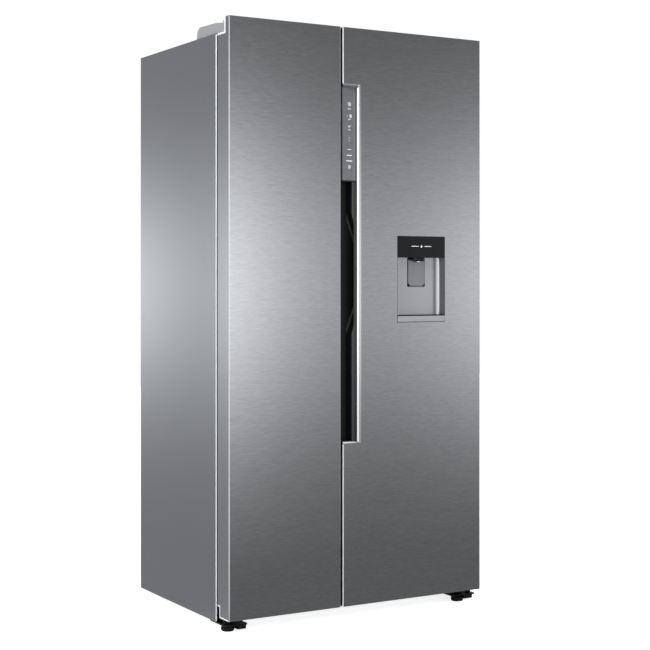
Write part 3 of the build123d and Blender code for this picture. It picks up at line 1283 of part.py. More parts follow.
def rear_roller(spot):
    x, y = spot
    tyre = rod_x(x - ROLLER_WIDTH / 2, x + ROLLER_WIDTH / 2, y, ROLLER_RADIUS, ROLLER_RADIUS)
    tyre = chamfer(tyre.edges().filter_by(GeomType.CIRCLE), ROLLER_CHAMFER)
    return tyre - rod_x(x - ROLLER_WIDTH, x + ROLLER_WIDTH, y, ROLLER_RADIUS, AXLE_RADIUS + PIN_AIR)


def rear_roller_left():
    return rear_roller(roller_spots()[0])


def rear_roller_right():
    return rear_roller(roller_spots()[1])


NODES = (
    cabinet_case, cabinet_foam, freezer_liner, fridge_liner, front_rail, base_pan, back_panel,
    machine_cover, compressor, compressor_mounts, condenser_coil, fan_shroud, fan_motors, drain_pan,
    evaporator, evaporator_cover, fridge_air_duct, lamp_lenses, cord_gland, glass_shelves, shelf_trims,
    top_hinges, hinge_covers, lower_hinges, roller_brackets, freezer_door_skin, freezer_door_foam,
    freezer_door_liner, freezer_door_top_cap, freezer_door_bottom_cap, freezer_door_gasket,
    freezer_door_handle, freezer_door_bins, fridge_door_skin, fridge_door_foam, fridge_door_liner,
    fridge_door_top_cap, fridge_door_bottom_cap, fridge_door_gasket, fridge_door_handle, handle_trim,
    control_panel, dispenser_housing, dispenser_fascia, dispenser_nozzle, dispenser_paddle, drip_tray,
    water_tank, tank_lid, fridge_door_bins, freezer_drawer_upper, freezer_drawer_lower, crisper_upper,
    crisper_lower, front_foot_left, front_foot_right, rear_roller_left, rear_roller_right,
    condenser_fan, evaporator_fan,
)


def main():
    os.makedirs("parts", exist_ok=True)
    for node in NODES:
        export_step(node(), os.path.join("parts", node.__name__ + ".step"))


if __name__ == "__main__":
    main()
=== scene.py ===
"""Dresses a side by side refrigerator and stands it in a plain white studio.

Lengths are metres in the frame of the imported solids: x runs to the right seen from the front, y to
the back and z up, with the floor at z = 0.
"""
import logging
import math
from dataclasses import dataclass, field
from enum import Enum
from typing import Any, Callable, Mapping, Optional, Sequence

import bmesh
import bpy
from mathutils import Matrix, Vector


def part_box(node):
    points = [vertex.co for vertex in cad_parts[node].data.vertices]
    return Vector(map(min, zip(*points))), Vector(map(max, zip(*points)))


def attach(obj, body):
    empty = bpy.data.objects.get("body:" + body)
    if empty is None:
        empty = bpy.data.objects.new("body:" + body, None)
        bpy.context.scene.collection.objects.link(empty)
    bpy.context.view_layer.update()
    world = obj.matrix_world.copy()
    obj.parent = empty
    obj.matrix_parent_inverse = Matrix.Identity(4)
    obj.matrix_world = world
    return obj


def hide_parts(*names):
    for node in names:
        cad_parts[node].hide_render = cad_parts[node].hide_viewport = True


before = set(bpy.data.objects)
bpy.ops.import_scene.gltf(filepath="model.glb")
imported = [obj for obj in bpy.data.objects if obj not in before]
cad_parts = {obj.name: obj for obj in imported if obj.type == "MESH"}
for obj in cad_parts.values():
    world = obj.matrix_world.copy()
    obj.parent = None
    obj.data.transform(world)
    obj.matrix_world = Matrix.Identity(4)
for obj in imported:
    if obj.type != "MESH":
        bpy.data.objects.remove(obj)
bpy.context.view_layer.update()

LOG = logging.getLogger("refrigerator")
MM = 0.001
Tree = bpy.types.NodeTree
Socket = bpy.types.NodeSocket
Mesh = bpy.types.Mesh
Point = tuple[float, float]
Spot = tuple[float, float, float]
Colour = tuple[float, float, float, float]


def linear(colour: str) -> Colour:
    """Turns an sRGB hex colour into linear RGBA.

    Args:
        colour: six hex digits after a hash sign.

    Returns:
        Linear red, green, blue and an alpha of 1.
    """
    parts = [int(colour[i : i + 2], 16) / 255 for i in (1, 3, 5)]
    red, green, blue = (c / 12.92 if c <= 0.04045 else ((c + 0.055) / 1.055) ** 2.4 for c in parts)
    return red, green, blue, 1.0


def add_node(
    tree: Tree, kind: str, inputs: Optional[Mapping[Any, Any]] = None, **settings: Any,
) -> bpy.types.Node:
    """Adds one node with its settings, constants and incoming links.

    Args:
        tree: node tree that receives the node.
        kind: Blender's class name of the node.
        inputs: by the input's name or number, the socket linked to it or else a constant.
        settings: properties of the node itself.

    Returns:
        The new node.
    """
    made = tree.nodes.new(kind)
    for key, value in settings.items():
        setattr(made, key, value)
    for key, value in (inputs or {}).items():
        if isinstance(value, Socket):
            tree.links.new(value, made.inputs[key])
        else:
            made.inputs[key].default_value = value
    return made


def clear_tree(owner: Any) -> Tree:
    """Switches on the nodes of a material or world and empties them.

    Args:
        owner: the material or world.

    Returns:
        Its empty node tree.
    """
    owner.use_nodes = True
    owner.node_tree.nodes.clear()
    return owner.node_tree


def link_object(name: str, data: Any) -> bpy.types.Object:
    """Makes an object of the data and links it to the scene.

    Args:
        name: the object's name.
        data: its mesh, curve, light or camera.

    Returns:
        The object.
    """
    made = bpy.data.objects.new(name, data)
    bpy.context.scene.collection.objects.link(made)
    return made


def box(node: str) -> tuple[Vector, Vector]:
    """Returns the lowest and the highest corner of a carried-over solid."""
    low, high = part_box(node)
    return Vector(low), Vector(high)


# Finishes


@dataclass(frozen=True)
class Finish:
    """A surface whose fine pattern varies its colour, gloss and relief.

    Attributes:
        name: the material's common name and how its surface was made.
        colour: colour of the pattern's high places, sRGB hex.
        shade: colour of the pattern's low places, sRGB hex.
        metallic: 1 for bare metal, 0 for plain plastic and paint, between them for coats with metal in them.
        roughness: roughness of the low and the high places.
        grain_mm: size of the pattern along x, y and z.
        relief_mm: height of the pattern.
        sockets: other constants of the shader, by socket name.
    """

    name: str
    colour: str
    shade: str
    metallic: float = 0.0
    roughness: Point = (0.4, 0.5)
    grain_mm: Spot = (1.0, 1.0, 1.0)
    relief_mm: float = 0.0
    sockets: Mapping[str, Any] = field(default_factory=dict)

    def place(self, tree: Tree, size_mm: Spot) -> Socket:
        """Scales Object coordinates to a pattern's size.

        Args:
            tree: the node tree that receives the nodes.
            size_mm: the pattern's size along x, y and z.

        Returns:
            The coordinates, divided by that size.
        """
        spot = add_node(tree, "ShaderNodeTexCoord").outputs["Object"]
        scale = [1 / (size * MM) for size in size_mm]
        return add_node(tree, "ShaderNodeMapping", {"Vector": spot, "Scale": scale}).outputs[0]

    def pattern(self, tree: Tree) -> Socket:
        """Even grain, as a spark-eroded mould leaves it; returns its height from 0 to 1."""
        inputs = {"Vector": self.place(tree, self.grain_mm), "Scale": 1.0, "Detail": 3.0}
        return add_node(tree, "ShaderNodeTexNoise", inputs).outputs["Fac"]

    def tint(self, tree: Tree, height: Socket) -> Socket:
        """Blends from the shade to the colour with the pattern's height; returns the colour."""
        inputs = {0: height, 6: linear(self.shade), 7: linear(self.colour)}
        return add_node(tree, "ShaderNodeMix", inputs, data_type="RGBA").outputs[2]

    def gloss(self, tree: Tree, height: Socket) -> Socket:
        """Turns the pattern's height into roughness; returns it."""
        inputs = {"Value": height, "To Min": self.roughness[0], "To Max": self.roughness[1]}
        return add_node(tree, "ShaderNodeMapRange", inputs).outputs[0]

    def guides(self, tree: Tree) -> dict[str, Socket]:
        """Further links of the shader, by socket name; a plain finish has none."""
        return {}

    def material(self) -> bpy.types.Material:
        """Makes the material, or finds it if another piece has it already.

        Returns:
            The material.
        """
        found = bpy.data.materials.get(self.name)
        if found is not None:
            return found
        made = bpy.data.materials.new(self.name)
        tree = clear_tree(made)
        height = self.pattern(tree)
        inputs = {
            "Base Color": self.tint(tree, height), "Roughness": self.gloss(tree, height),
            "Metallic": self.metallic, **self.guides(tree), **self.sockets,
        }
        if self.relief_mm:
            relief = {"Height": height, "Strength": 1.0, "Distance": self.relief_mm * MM}
            inputs["Normal"] = add_node(tree, "ShaderNodeBump", relief).outputs[0]
        shader = add_node(tree, "ShaderNodeBsdfPrincipled", inputs)
        add_node(tree, "ShaderNodeOutputMaterial", {"Surface": shader.outputs[0]})
        return made


@dataclass(frozen=True)
class BrushedSheet(Finish):
    """Sheet drawn under an abrasive belt: long lines, with faint bands where the belt bit deeper.

    Attributes:
        band_mm: size of the bands along x, y and z.
        band_share: how much of the pattern the bands make up.
        line_shift: step in the noise from one line to the next, so that no two lines are alike.
    """

    band_mm: Spot = (420.0, 420.0, 9.0)
    band_share: float = 0.4
    line_shift: float = 7.31

    def pattern(self, tree: Tree) -> Socket:
        """Draws lines that each stand alone, with bands across several of them.

        Args:
            tree: the node tree that receives the nodes.

        Returns:
            Their height from 0 to 1.
        """
        where = self.place(tree, self.grain_mm)
        thin = [1.0 if size < max(self.grain_mm) else 0.0 for size in self.grain_mm]
        apart = [share * self.line_shift for share in thin]
        along = [1.0 - share for share in thin]
        line = add_node(tree, "ShaderNodeVectorMath", {0: where}, operation="FLOOR").outputs[0]
        shift = add_node(tree, "ShaderNodeVectorMath", {0: line, 1: apart}, operation="MULTIPLY").outputs[0]
        run = add_node(tree, "ShaderNodeVectorMath", {0: where, 1: along}, operation="MULTIPLY").outputs[0]
        spot = add_node(tree, "ShaderNodeVectorMath", {0: shift, 1: run}, operation="ADD").outputs[0]
        inputs = {"Vector": spot, "Scale": 1.0, "Detail": 1.0}
        lines = add_node(tree, "ShaderNodeTexNoise", inputs).outputs["Fac"]
        inputs = {"Vector": self.place(tree, self.band_mm), "Scale": 1.0, "Detail": 2.0}
        bands = add_node(tree, "ShaderNodeTexNoise", inputs).outputs["Fac"]
        return add_node(tree, "ShaderNodeMix", {0: self.band_share, 2: lines, 3: bands}).outputs[0]

    def guides(self, tree: Tree) -> dict[str, Socket]:
        """Level tangent, so that gloss spreads across the lines."""
        return {"Tangent": add_node(tree, "ShaderNodeTangent", direction_type="RADIAL", axis="Z").outputs[0]}


@dataclass(frozen=True)
class Spangled(Finish):
    """Hot-dip zinc: flat crystals that each reflect a little differently."""

    def pattern(self, tree: Tree) -> Socket:
        """Draws crystal cells.

        Args:
            tree: the node tree that receives the nodes.

        Returns:
            One grey for each cell.
        """
        inputs = {"Vector": self.place(tree, self.grain_mm), "Scale": 1.0}
        cells = add_node(tree, "ShaderNodeTexVoronoi", inputs).outputs["Color"]
        return add_node(tree, "ShaderNodeSeparateColor", {0: cells}).outputs[0]


@dataclass(frozen=True)
class Cellular(Finish):
    """Rigid foam: cut cells."""

    def pattern(self, tree: Tree) -> Socket:
        """Rounded cells; returns the distance from their middles."""
        inputs = {"Vector": self.place(tree, self.grain_mm), "Scale": 1.0}
        return add_node(tree, "ShaderNodeTexVoronoi", inputs).outputs["Distance"]


@dataclass(frozen=True)
class Zone:
    """Part of a surface beyond a straight line, with its own colour and gloss.

    Attributes:
        colour: colour beyond the line, sRGB hex.
        roughness: roughness beyond the line, or None where it stays the same.
        axis: the axis across the line.
        level: where the line lies on that axis.
        side: GREATER_THAN or LESS_THAN, for the side of the line that is beyond it.
    """

    colour: str
    roughness: Optional[float]
    axis: str
    level: float
    side: str = "GREATER_THAN"

    def beyond(self, tree: Tree) -> Socket:
        """Tells the two sides of the line apart.

        Args:
            tree: the node tree that receives the nodes.

        Returns:
            1 beyond the line, else 0.
        """
        spot = add_node(tree, "ShaderNodeTexCoord").outputs["Object"]
        place = add_node(tree, "ShaderNodeSeparateXYZ", {0: spot}).outputs[self.axis]
        return add_node(tree, "ShaderNodeMath", {0: place, 1: self.level}, operation=self.side).outputs[0]


@dataclass(frozen=True)
class Parted(Finish):
    """A finish that changes at straight lines, as two shots of moulding or a masked coat do, and as painted
    shade does in some finishes.

    Attributes:
        zones: the parts of the surface that differ.
    """

    zones: tuple[Zone, ...] = ()

    def tint(self, tree: Tree, height: Socket) -> Socket:
        """Blends as any finish does, then changes colour in each zone.

        Args:
            tree: the node tree that receives the nodes.
            height: the pattern's height from 0 to 1.

        Returns:
            The colour.
        """
        colour = super().tint(tree, height)
        for zone in self.zones:
            inputs = {0: zone.beyond(tree), 6: colour, 7: linear(zone.colour)}
            colour = add_node(tree, "ShaderNodeMix", inputs, data_type="RGBA").outputs[2]
        return colour

    def gloss(self, tree: Tree, height: Socket) -> Socket:
        """Changes the roughness in each zone that has its own.

        Args:
            tree: the node tree that receives the nodes.
            height: the pattern's height from 0 to 1.

        Returns:
            The roughness.
        """
        rough = super().gloss(tree, height)
        for zone in self.zones:
            if zone.roughness is not None:
                inputs = {0: zone.beyond(tree), 2: rough, 3: zone.roughness}
                rough = add_node(tree, "ShaderNodeMix", inputs).outputs[0]
        return rough


@dataclass(frozen=True)
class FacedSheet(Parted, BrushedSheet):
    """Brushed sheet whose outer returns are coated like the case."""


@dataclass(frozen=True)
class FacedFoam(Parted, Cellular):
    """Rigid foam with a facing laid on part of it."""


class Finishes(Enum):
    """Every finish on the refrigerator."""

    # Grade 430 stainless, belt-brushed level; real lines are 0.1 mm, drawn 2.4 mm tall so that they show.
    BRUSHED_STAINLESS = FacedSheet(
        "stainless_steel_belt_brushed", "#ecedf1", "#c6c9ce", 1.0, (0.18, 0.22), (27.0, 27.0, 2.4), 0.0,
        {"Anisotropic": 0.45, "Anisotropic Rotation": 0.25}, band_share=0.12,
        zones=(Zone("#94979b", None, "X", 0.4536), Zone("#94979b", None, "X", -0.4536, "LESS_THAN")),
    )
    # Pre-coated steel in silver grey: smooth, with metal flake under the lacquer.
    SILVER_COATED_STEEL = Finish(
        "coated_steel_silver", "#85888d", "#7f8287", 0.9, (0.2, 0.24), (2.5, 2.5, 2.5),
    )
    # The case itself: the same coat, with the front flange that the seals close on painted black, as painted
    # shade of the gap behind the doors.
    SILVER_CASE = Parted(
        "coated_steel_silver_black_flange", "#85888d", "#7f8287", 0.9, (0.2, 0.24), (2.5, 2.5, 2.5),
        zones=(Zone("#0c0d0f", 0.6, "Y", -0.2364, "LESS_THAN"),),
    )
    # Galvanised sheet: grey crystals about 9 mm wide.
    GALVANISED_SHEET = Spangled(
        "galvanised_steel_sheet", "#c3c7c9", "#adb2b5", 0.85, (0.38, 0.5), (9.0, 9.0, 9.0),
    )
    # Zinc-plated pressings: even pale metal with a slight drawn haze.
    ZINC_PLATE = Finish("zinc_plated_steel", "#c2c4c5", "#b2b4b6", 1.0, (0.28, 0.4), (14.0, 14.0, 4.0), 0.004)
    # Black powder coat: fine pebble.
    BLACK_COATED_STEEL = Finish(
        "powder_coated_steel_black", "#0e0f10", "#08090a", 0.0, (0.42, 0.55), (1.2, 1.2, 1.2), 0.03,
        {"Specular IOR Level": 0.2},
    )
    # Compressor enamel: thick glossy black.
    BLACK_ENAMEL = Finish(
        "enamelled_steel_black", "#15161a", "#0c0d0f", 0.0, (0.18, 0.26), (3.0, 3.0, 3.0), 0.02,
        {"Coat Weight": 0.4},
    )
    # Mill aluminium of fins and tube: bright, with soft rolling lines.
    MILL_ALUMINIUM = Finish(
        "aluminium_mill_finish", "#d9dcde", "#c8ccce", 1.0, (0.25, 0.38), (20.0, 20.0, 2.0), 0.004,
    )
    # Bright-dipped aluminium of the grip frame: almost a mirror, drawn along its length.
    BRIGHT_ALUMINIUM = BrushedSheet(
        "aluminium_bright_dipped", "#e9eaec", "#e1e2e4", 1.0, (0.13, 0.18), (1.0, 1.0, 60.0),
        band_mm=(6.0, 6.0, 300.0),
    )
    # High-impact polystyrene liner: clean white with a soft gloss.
    WHITE_STYRENE = Finish(
        "polystyrene_liner_white", "#eceef0", "#e6e9eb", 0.0, (0.28, 0.34), (6.0, 6.0, 6.0), 0.008,
    )
    # Moulded ABS ends of the doors: pale, matt.
    PALE_ABS = Finish("abs_moulded_pale_grey", "#dcdddf", "#d4d5d7", 0.0, (0.42, 0.5), (0.9, 0.9, 0.9), 0.012)
    # Moulded ABS of the hinge caps: mid grey, matt.
    GREY_ABS = Finish("abs_moulded_grey", "#8b8c8f", "#838487", 0.0, (0.42, 0.52), (0.9, 0.9, 0.9), 0.015)
    # Grip channel: black ABS, polished on its rounded flank; deeper inside it is matt and painted near black,
    # as painted shade of the recess.
    BLACK_ABS = Parted(
        "abs_moulded_black", "#1c1d22", "#15161a", 0.0, (0.16, 0.2), (1.2, 1.2, 1.2), 0.0,
        {"IOR": 1.6}, zones=(Zone("#050607", 0.5, "Y", -0.3000),),
    )
    # Fascia and spout: piano-black ABS under lacquer.
    GLOSS_BLACK = Finish(
        "abs_lacquered_black", "#101115", "#0d0e12", 0.0, (0.10, 0.14), (40.0, 40.0, 40.0), 0.0,
        {"IOR": 1.42},
    )
    # Display block: silver lacquer with fine flake on ABS.
    SILVER_PANEL = Finish(
        "abs_lacquered_silver_dark", "#8b8d92", "#828489", 0.6, (0.24, 0.32), (1.6, 1.6, 1.6), 0.0,
        {"Coat Weight": 0.2},
    )
    # Niche: the same lacquer, paler; its right-hand wall is painted darker and the pocket behind the paddle
    # near black, both as painted shade.
    SILVER_NICHE = Parted(
        "abs_lacquered_silver", "#c8cace", "#c0c2c6", 0.8, (0.15, 0.21), (1.6, 1.6, 1.6), 0.0,
        {"Coat Weight": 0.2},
        zones=(Zone("#626468", 0.24, "X", 0.3095), Zone("#121316", 0.5, "Y", -0.2926)),
    )
    # Tray: silver front with a black grille at the top, whose black also stands in as painted shade of the gap
    # above the tray's lip.
    SILVER_TRAY = Parted(
        "abs_lacquered_silver_black_grille", "#b4b6b9", "#acaeb1", 0.5, (0.26, 0.34), (1.6, 1.6, 1.6),
        zones=(Zone("#1b1c1f", 0.5, "Z", 0.9245),),
    )
    # Paddle: the niche's lacquer over a darker base.
    SILVER_PADDLE = Finish(
        "abs_lacquered_silver_mid", "#9fa1a6", "#97999e", 0.7, (0.2, 0.28), (1.6, 1.6, 1.6), 0.0,
        {"Coat Weight": 0.1},
    )
    # Toughened shelf glass: clear and smooth, faintly green.
    SHELF_GLASS = Finish(
        "glass_toughened", "#eef6f3", "#ecf5f1", 0.0, (0.01, 0.02), (60.0, 60.0, 60.0), 0.0,
        {"Transmission Weight": 1.0, "IOR": 1.52},
    )
    # Clear styrene of bins and drawers: slightly grey, with moulding flow.
    CLEAR_STYRENE = Finish(
        "polystyrene_clear", "#eef2f5", "#e8edf1", 0.0, (0.05, 0.09), (18.0, 18.0, 40.0), 0.01,
        {"Transmission Weight": 0.94, "IOR": 1.59},
    )
    # Shelf front rails: satin silver ABS.
    SATIN_SILVER = Finish(
        "abs_satin_silver", "#c2c4c6", "#babcbe", 0.35, (0.34, 0.42), (1.0, 1.0, 1.0), 0.008,
    )
    # Door seal: soft grey vinyl, dull.
    SOFT_VINYL = Finish("pvc_seal_grey", "#8d8f92", "#838588", 0.0, (0.5, 0.6), (2.0, 2.0, 2.0), 0.02)
    # Polyurethane foam of the doors: buff, with cells of about 1 mm.
    RIGID_FOAM = Cellular(
        "polyurethane_foam_rigid", "#dcc88e", "#b89f62", 0.0, (0.8, 0.95), (1.1, 1.1, 1.1), 0.3,
    )
    # Foam of the cabinet: under a grey barrier facing where it borders on the machine bay.
    FACED_FOAM = FacedFoam(
        "polyurethane_foam_faced", "#dcc88e", "#b89f62", 0.0, (0.8, 0.95), (1.1, 1.1, 1.1),
        zones=(Zone("#4d5053", 0.55, "Z", 0.2625, "LESS_THAN"),),
    )
    # Moulded rubber of mounts, gland and seat liner, also used for the edge strips and dispenser bead that are
    # painted shade: black, almost without gloss.
    BLACK_RUBBER = Finish(
        "rubber_moulded_black", "#1b1b1c", "#141415", 0.0, (0.6, 0.72), (0.8, 0.8, 0.8), 0.02,
    )
    # Polyamide of feet: dense black.
    BLACK_NYLON = Finish(
        "polyamide_black", "#0b0c0d", "#070809", 0.0, (0.4, 0.5), (1.0, 1.0, 1.0), 0.015,
        {"Specular IOR Level": 0.2},
    )
    # Acetal of rollers: grey, waxy.
    GREY_ACETAL = Finish("acetal_grey", "#6c6e70", "#626466", 0.0, (0.32, 0.42), (1.5, 1.5, 1.5), 0.01)
    # Natural polypropylene of the fans: milky, with a dull sheen.
    NATURAL_PROPYLENE = Finish(
        "polypropylene_natural", "#dddcd6", "#d2d1ca", 0.0, (0.38, 0.46), (1.5, 1.5, 1.5), 0.01,
    )
    # Grey polypropylene of shroud and drain pan: even and dull.
    GREY_PROPYLENE = Finish(
        "polypropylene_grey", "#8f9193", "#858789", 0.0, (0.42, 0.52), (1.2, 1.2, 1.2), 0.015,
    )
    # Painted motor cans: dark grey with a slight sheen.
    MOTOR_PAINT = Finish("painted_motor_can", "#55585b", "#4b4e51", 0.2, (0.35, 0.45), (1.5, 1.5, 1.5), 0.02)
    # Frosted acrylic lens over the lamps: milky white, lit from behind.
    FROSTED_ACRYLIC = Finish(
        "acrylic_frosted", "#f7f7f2", "#f1f1ec", 0.0, (0.35, 0.45), (2.0, 2.0, 2.0), 0.01,
        {"Transmission Weight": 0.4, "Emission Color": linear("#fff8ec"), "Emission Strength": 0.6},
    )
    # Screen-printed marks: flat white.
    WHITE_INK = Finish("screen_ink_white", "#f5f7f9", "#eef0f2", 0.0, (0.4, 0.5), (0.6, 0.6, 0.6))


# Geometry Nodes


def start_tree(name: str, **labels: Sequence[str]) -> tuple[Tree, Any]:
    """Starts a Geometry Nodes tree with named inputs and a material input called Finish.

    Args:
        name: the tree's name.
        labels: names of the inputs, by their kind of value.

    Returns:
        The tree, and the sockets that give its inputs.
    """
    tree = bpy.data.node_groups.new(name, "GeometryNodeTree")
    for kind, names in {**labels, "Material": ("Finish",)}.items():
        for label in names:
            tree.interface.new_socket(name=label, in_out="INPUT", socket_type=f"NodeSocket{kind}")
    tree.interface.new_socket(name="Shape", in_out="OUTPUT", socket_type="NodeSocketGeometry")
    return tree, add_node(tree, "NodeGroupInput").outputs


def end_tree(tree: Tree, shape: Socket, given: Any) -> Tree:
    """Ends a tree in plain, dressed geometry.

    Args:
        tree: the tree to end.
        shape: the socket of the finished shape.
        given: the sockets that give the tree's inputs.

    Returns:
        The tree.
    """
    solid = add_node(tree, "GeometryNodeRealizeInstances", {0: shape}).outputs[0]
    inputs = {"Geometry": solid, "Material": given["Finish"]}
    dressed = add_node(tree, "GeometryNodeSetMaterial", inputs).outputs[0]
    add_node(tree, "NodeGroupOutput", {0: dressed})
    return tree


def grow(name: str, plan: Callable[[], Tree], finish: Finishes, sizes: Mapping[str, Any]) -> Mesh:
    """Runs a Geometry Nodes tree with its inputs set and keeps the result as a plain mesh.

    Args:
        name: name of the mesh.
        plan: function that makes the tree; a tree that exists already is used again.
        finish: finish of the mesh.
        sizes: values of the tree's other inputs, by their names.

    Returns:
        The mesh.
    """
    tree = bpy.data.node_groups.get(plan.__name__) or plan()
    blank = bpy.data.meshes.new(f"{name}_blank")
    holder = link_object(blank.name, blank)
    shaper = holder.modifiers.new(name, "NODES")
    shaper.node_group = tree
    values = {**sizes, "Finish": finish.value.material()}
    for socket in tree.interface.items_tree:
        if socket.in_out == "INPUT":
            shaper[socket.identifier] = values[socket.name]
    graph = bpy.context.evaluated_depsgraph_get()
    mesh = bpy.data.meshes.new_from_object(holder.evaluated_get(graph))
    holder.modifiers.remove(shaper)
    bpy.data.objects.remove(holder)
    bpy.data.meshes.remove(blank)
    mesh.name = name
    return mesh


def swept_frame() -> Tree:
    """Plans an upright rectangular frame with rounded corners, swept from a profile.

    Returns:
        The tree.
    """
    corner_steps, upright = 6, (math.radians(90), 0.0, 0.0)
    tree, given = start_tree("swept_frame", Float=("Width", "Height", "Corner"), Object=("Profile",))
    inputs = {"Width": given["Width"], "Height": given["Height"]}
    path = add_node(tree, "GeometryNodeCurvePrimitiveQuadrilateral", inputs).outputs[0]
    inputs = {"Curve": path, "Radius": given["Corner"], "Count": corner_steps}
    path = add_node(tree, "GeometryNodeFilletCurve", inputs, mode="POLY").outputs[0]
    path = add_node(tree, "GeometryNodeSetCurveNormal", {0: path}, mode="Z_UP").outputs[0]
    section = add_node(tree, "GeometryNodeObjectInfo", {"Object": given["Profile"]}).outputs["Geometry"]
    tube = add_node(tree, "GeometryNodeCurveToMesh", {"Curve": path, "Profile Curve": section}).outputs[0]
    stood = add_node(tree, "GeometryNodeTransform", {"Geometry": tube, "Rotation": upright}).outputs[0]
    return end_tree(tree, stood, given)


def screw_field() -> Tree:
    """Plans hexagon-headed screws with washers in rows and columns, facing up.

    Returns:
        The tree.
    """
    tree, given = start_tree(
        "screw_field", Float=("Width", "Height", "Washer", "Hexagon", "Rise"), Int=("Columns", "Rows"),
    )
    inputs = {"Size X": given["Width"], "Size Y": given["Height"], "Vertices X": given["Columns"],
              "Vertices Y": given["Rows"]}
    spots = add_node(tree, "GeometryNodeMeshGrid", inputs).outputs["Mesh"]
    crown_share = 0.82
    inputs = {0: given["Hexagon"], 1: crown_share}
    crown = add_node(tree, "ShaderNodeMath", inputs, operation="MULTIPLY").outputs[0]
    # Kind, corners, radii, and the shares of the rise that are the part's own height and its lift.
    parts = (
        ("Cylinder", 20, {"Radius": given["Washer"]}, (0.3, 0.15)),
        ("Cylinder", 6, {"Radius": given["Hexagon"]}, (0.9, 0.45)),
        ("Cone", 6, {"Radius Bottom": given["Hexagon"], "Radius Top": crown}, (0.1, 0.9)),
    )
    screw = add_node(tree, "GeometryNodeJoinGeometry")
    for kind, corners, radii, shares in parts:
        depth, lift = (
            add_node(tree, "ShaderNodeMath", {0: given["Rise"], 1: share}, operation="MULTIPLY").outputs[0]
            for share in shares
        )
        inputs = {"Vertices": corners, "Depth": depth, **radii}
        shape = add_node(tree, f"GeometryNodeMesh{kind}", inputs).outputs["Mesh"]
        spot = add_node(tree, "ShaderNodeCombineXYZ", {"Z": lift}).outputs[0]
        part = add_node(tree, "GeometryNodeTransform", {"Geometry": shape, "Translation": spot}).outputs[0]
        tree.links.new(part, screw.inputs[0])
    inputs = {"Points": spots, "Instance": screw.outputs[0]}
    return end_tree(tree, add_node(tree, "GeometryNodeInstanceOnPoints", inputs).outputs[0], given)


def pressed_sheet() -> Tree:
    """Plans a level sheet with long fields pressed out of it side by side.

    Returns:
        The tree.
    """
    columns, rows = 161, 121
    tree, given = start_tree(
        "pressed_sheet", Float=("Width", "Height", "Half Pitch", "Half Field", "Reach", "Slope", "Rise"),
    )
    inputs = {"Size X": given["Width"], "Size Y": given["Height"], "Vertices X": columns, "Vertices Y": rows}
    sheet = add_node(tree, "GeometryNodeMeshGrid", inputs).outputs["Mesh"]
    spot = add_node(tree, "GeometryNodeInputPosition").outputs[0]
    axes = add_node(tree, "ShaderNodeSeparateXYZ", {0: spot}).outputs
    inputs = {0: axes["X"], 1: given["Half Pitch"]}
    across = add_node(tree, "ShaderNodeMath", inputs, operation="PINGPONG").outputs[0]
    along = add_node(tree, "ShaderNodeMath", {0: axes["Y"]}, operation="ABSOLUTE").outputs[0]
    lift = given["Rise"]
    for place, start in ((across, given["Half Field"]), (along, given["Reach"])):
        end = add_node(tree, "ShaderNodeMath", {0: start, 1: given["Slope"]}, operation="ADD").outputs[0]
        inputs = {"Value": place, "From Min": start, "From Max": end, "To Min": 1.0, "To Max": 0.0}
        mask = add_node(tree, "ShaderNodeMapRange", inputs, interpolation_type="SMOOTHSTEP").outputs[0]
        lift = add_node(tree, "ShaderNodeMath", {0: lift, 1: mask}, operation="MULTIPLY").outputs[0]
    offset = add_node(tree, "ShaderNodeCombineXYZ", {"Z": lift}).outputs[0]
    shaped = add_node(tree, "GeometryNodeSetPosition", {"Geometry": sheet, "Offset": offset}).outputs[0]
    return end_tree(tree, shaped, given)


def rib_ring() -> Tree:
    """Plans upright round ribs about a vertical axis.

    Returns:
        The tree.
    """
    corners = 8
    tree, given = start_tree("rib_ring", Float=("Radius", "Rib", "Height"), Int=("Count",))
    inputs = {"Vertices": given["Count"], "Radius": given["Radius"]}
    spots = add_node(tree, "GeometryNodeMeshCircle", inputs).outputs[0]
    inputs = {"Vertices": corners, "Radius": given["Rib"], "Depth": given["Height"]}
    rib = add_node(tree, "GeometryNodeMeshCylinder", inputs).outputs["Mesh"]
    placed = add_node(tree, "GeometryNodeInstanceOnPoints", {"Points": spots, "Instance": rib}).outputs[0]
    return end_tree(tree, placed, given)


# Meshes


def end_shape(shape: bmesh.types.BMesh, name: str, finish: Finishes) -> Mesh:
    """Turns a drawn shape into a mesh with its finish.

    Args:
        shape: the drawn shape, which is freed.
        name: name of the mesh.
        finish: finish of the mesh.

    Returns:
        The mesh.
    """
    mesh = bpy.data.meshes.new(name)
    shape.to_mesh(mesh)
    shape.free()
    mesh.materials.append(finish.value.material())
    return mesh


def loft(name: str, rings: Sequence[Sequence[Spot]], capped: bool, finish: Finishes) -> Mesh:
    """Skins rings of equally many corners.

    Args:
        name: name of the mesh.
        rings: the rings, in order.
        capped: whether the outer rings are capped; if not, the last ring runs on into the first.
        finish: finish of the mesh.

    Returns:
        The closed mesh.
    """
    shape = bmesh.new()
    loops = [[shape.verts.new(spot) for spot in ring] for ring in rings]
    for i in range(1 if capped else 0, len(loops)):
        before, after = loops[i - 1], loops[i]
        for j in range(len(after)):
            shape.faces.new((before[j - 1], before[j], after[j], after[j - 1]))
    if capped:
        shape.faces.new(loops[0])
        shape.faces.new(loops[-1])
    bmesh.ops.recalc_face_normals(shape, faces=shape.faces)
    return end_shape(shape, name, finish)


def straight_strip(name: str, section: Sequence[Point], ends: Point, finish: Finishes) -> Mesh:
    """Makes an upright strip of one section of x and y between two heights; returns it."""
    return loft(name, [[(x, y, z) for x, y in section] for z in ends], True, finish)


def round_section(x: float, y: float, radius: float, steps: int = 12) -> list[Point]:
    """Returns the corners of a round section about a middle."""
    turns = [2 * math.pi * i / steps for i in range(steps)]
    return [(x + radius * math.cos(turn), y + radius * math.sin(turn)) for turn in turns]


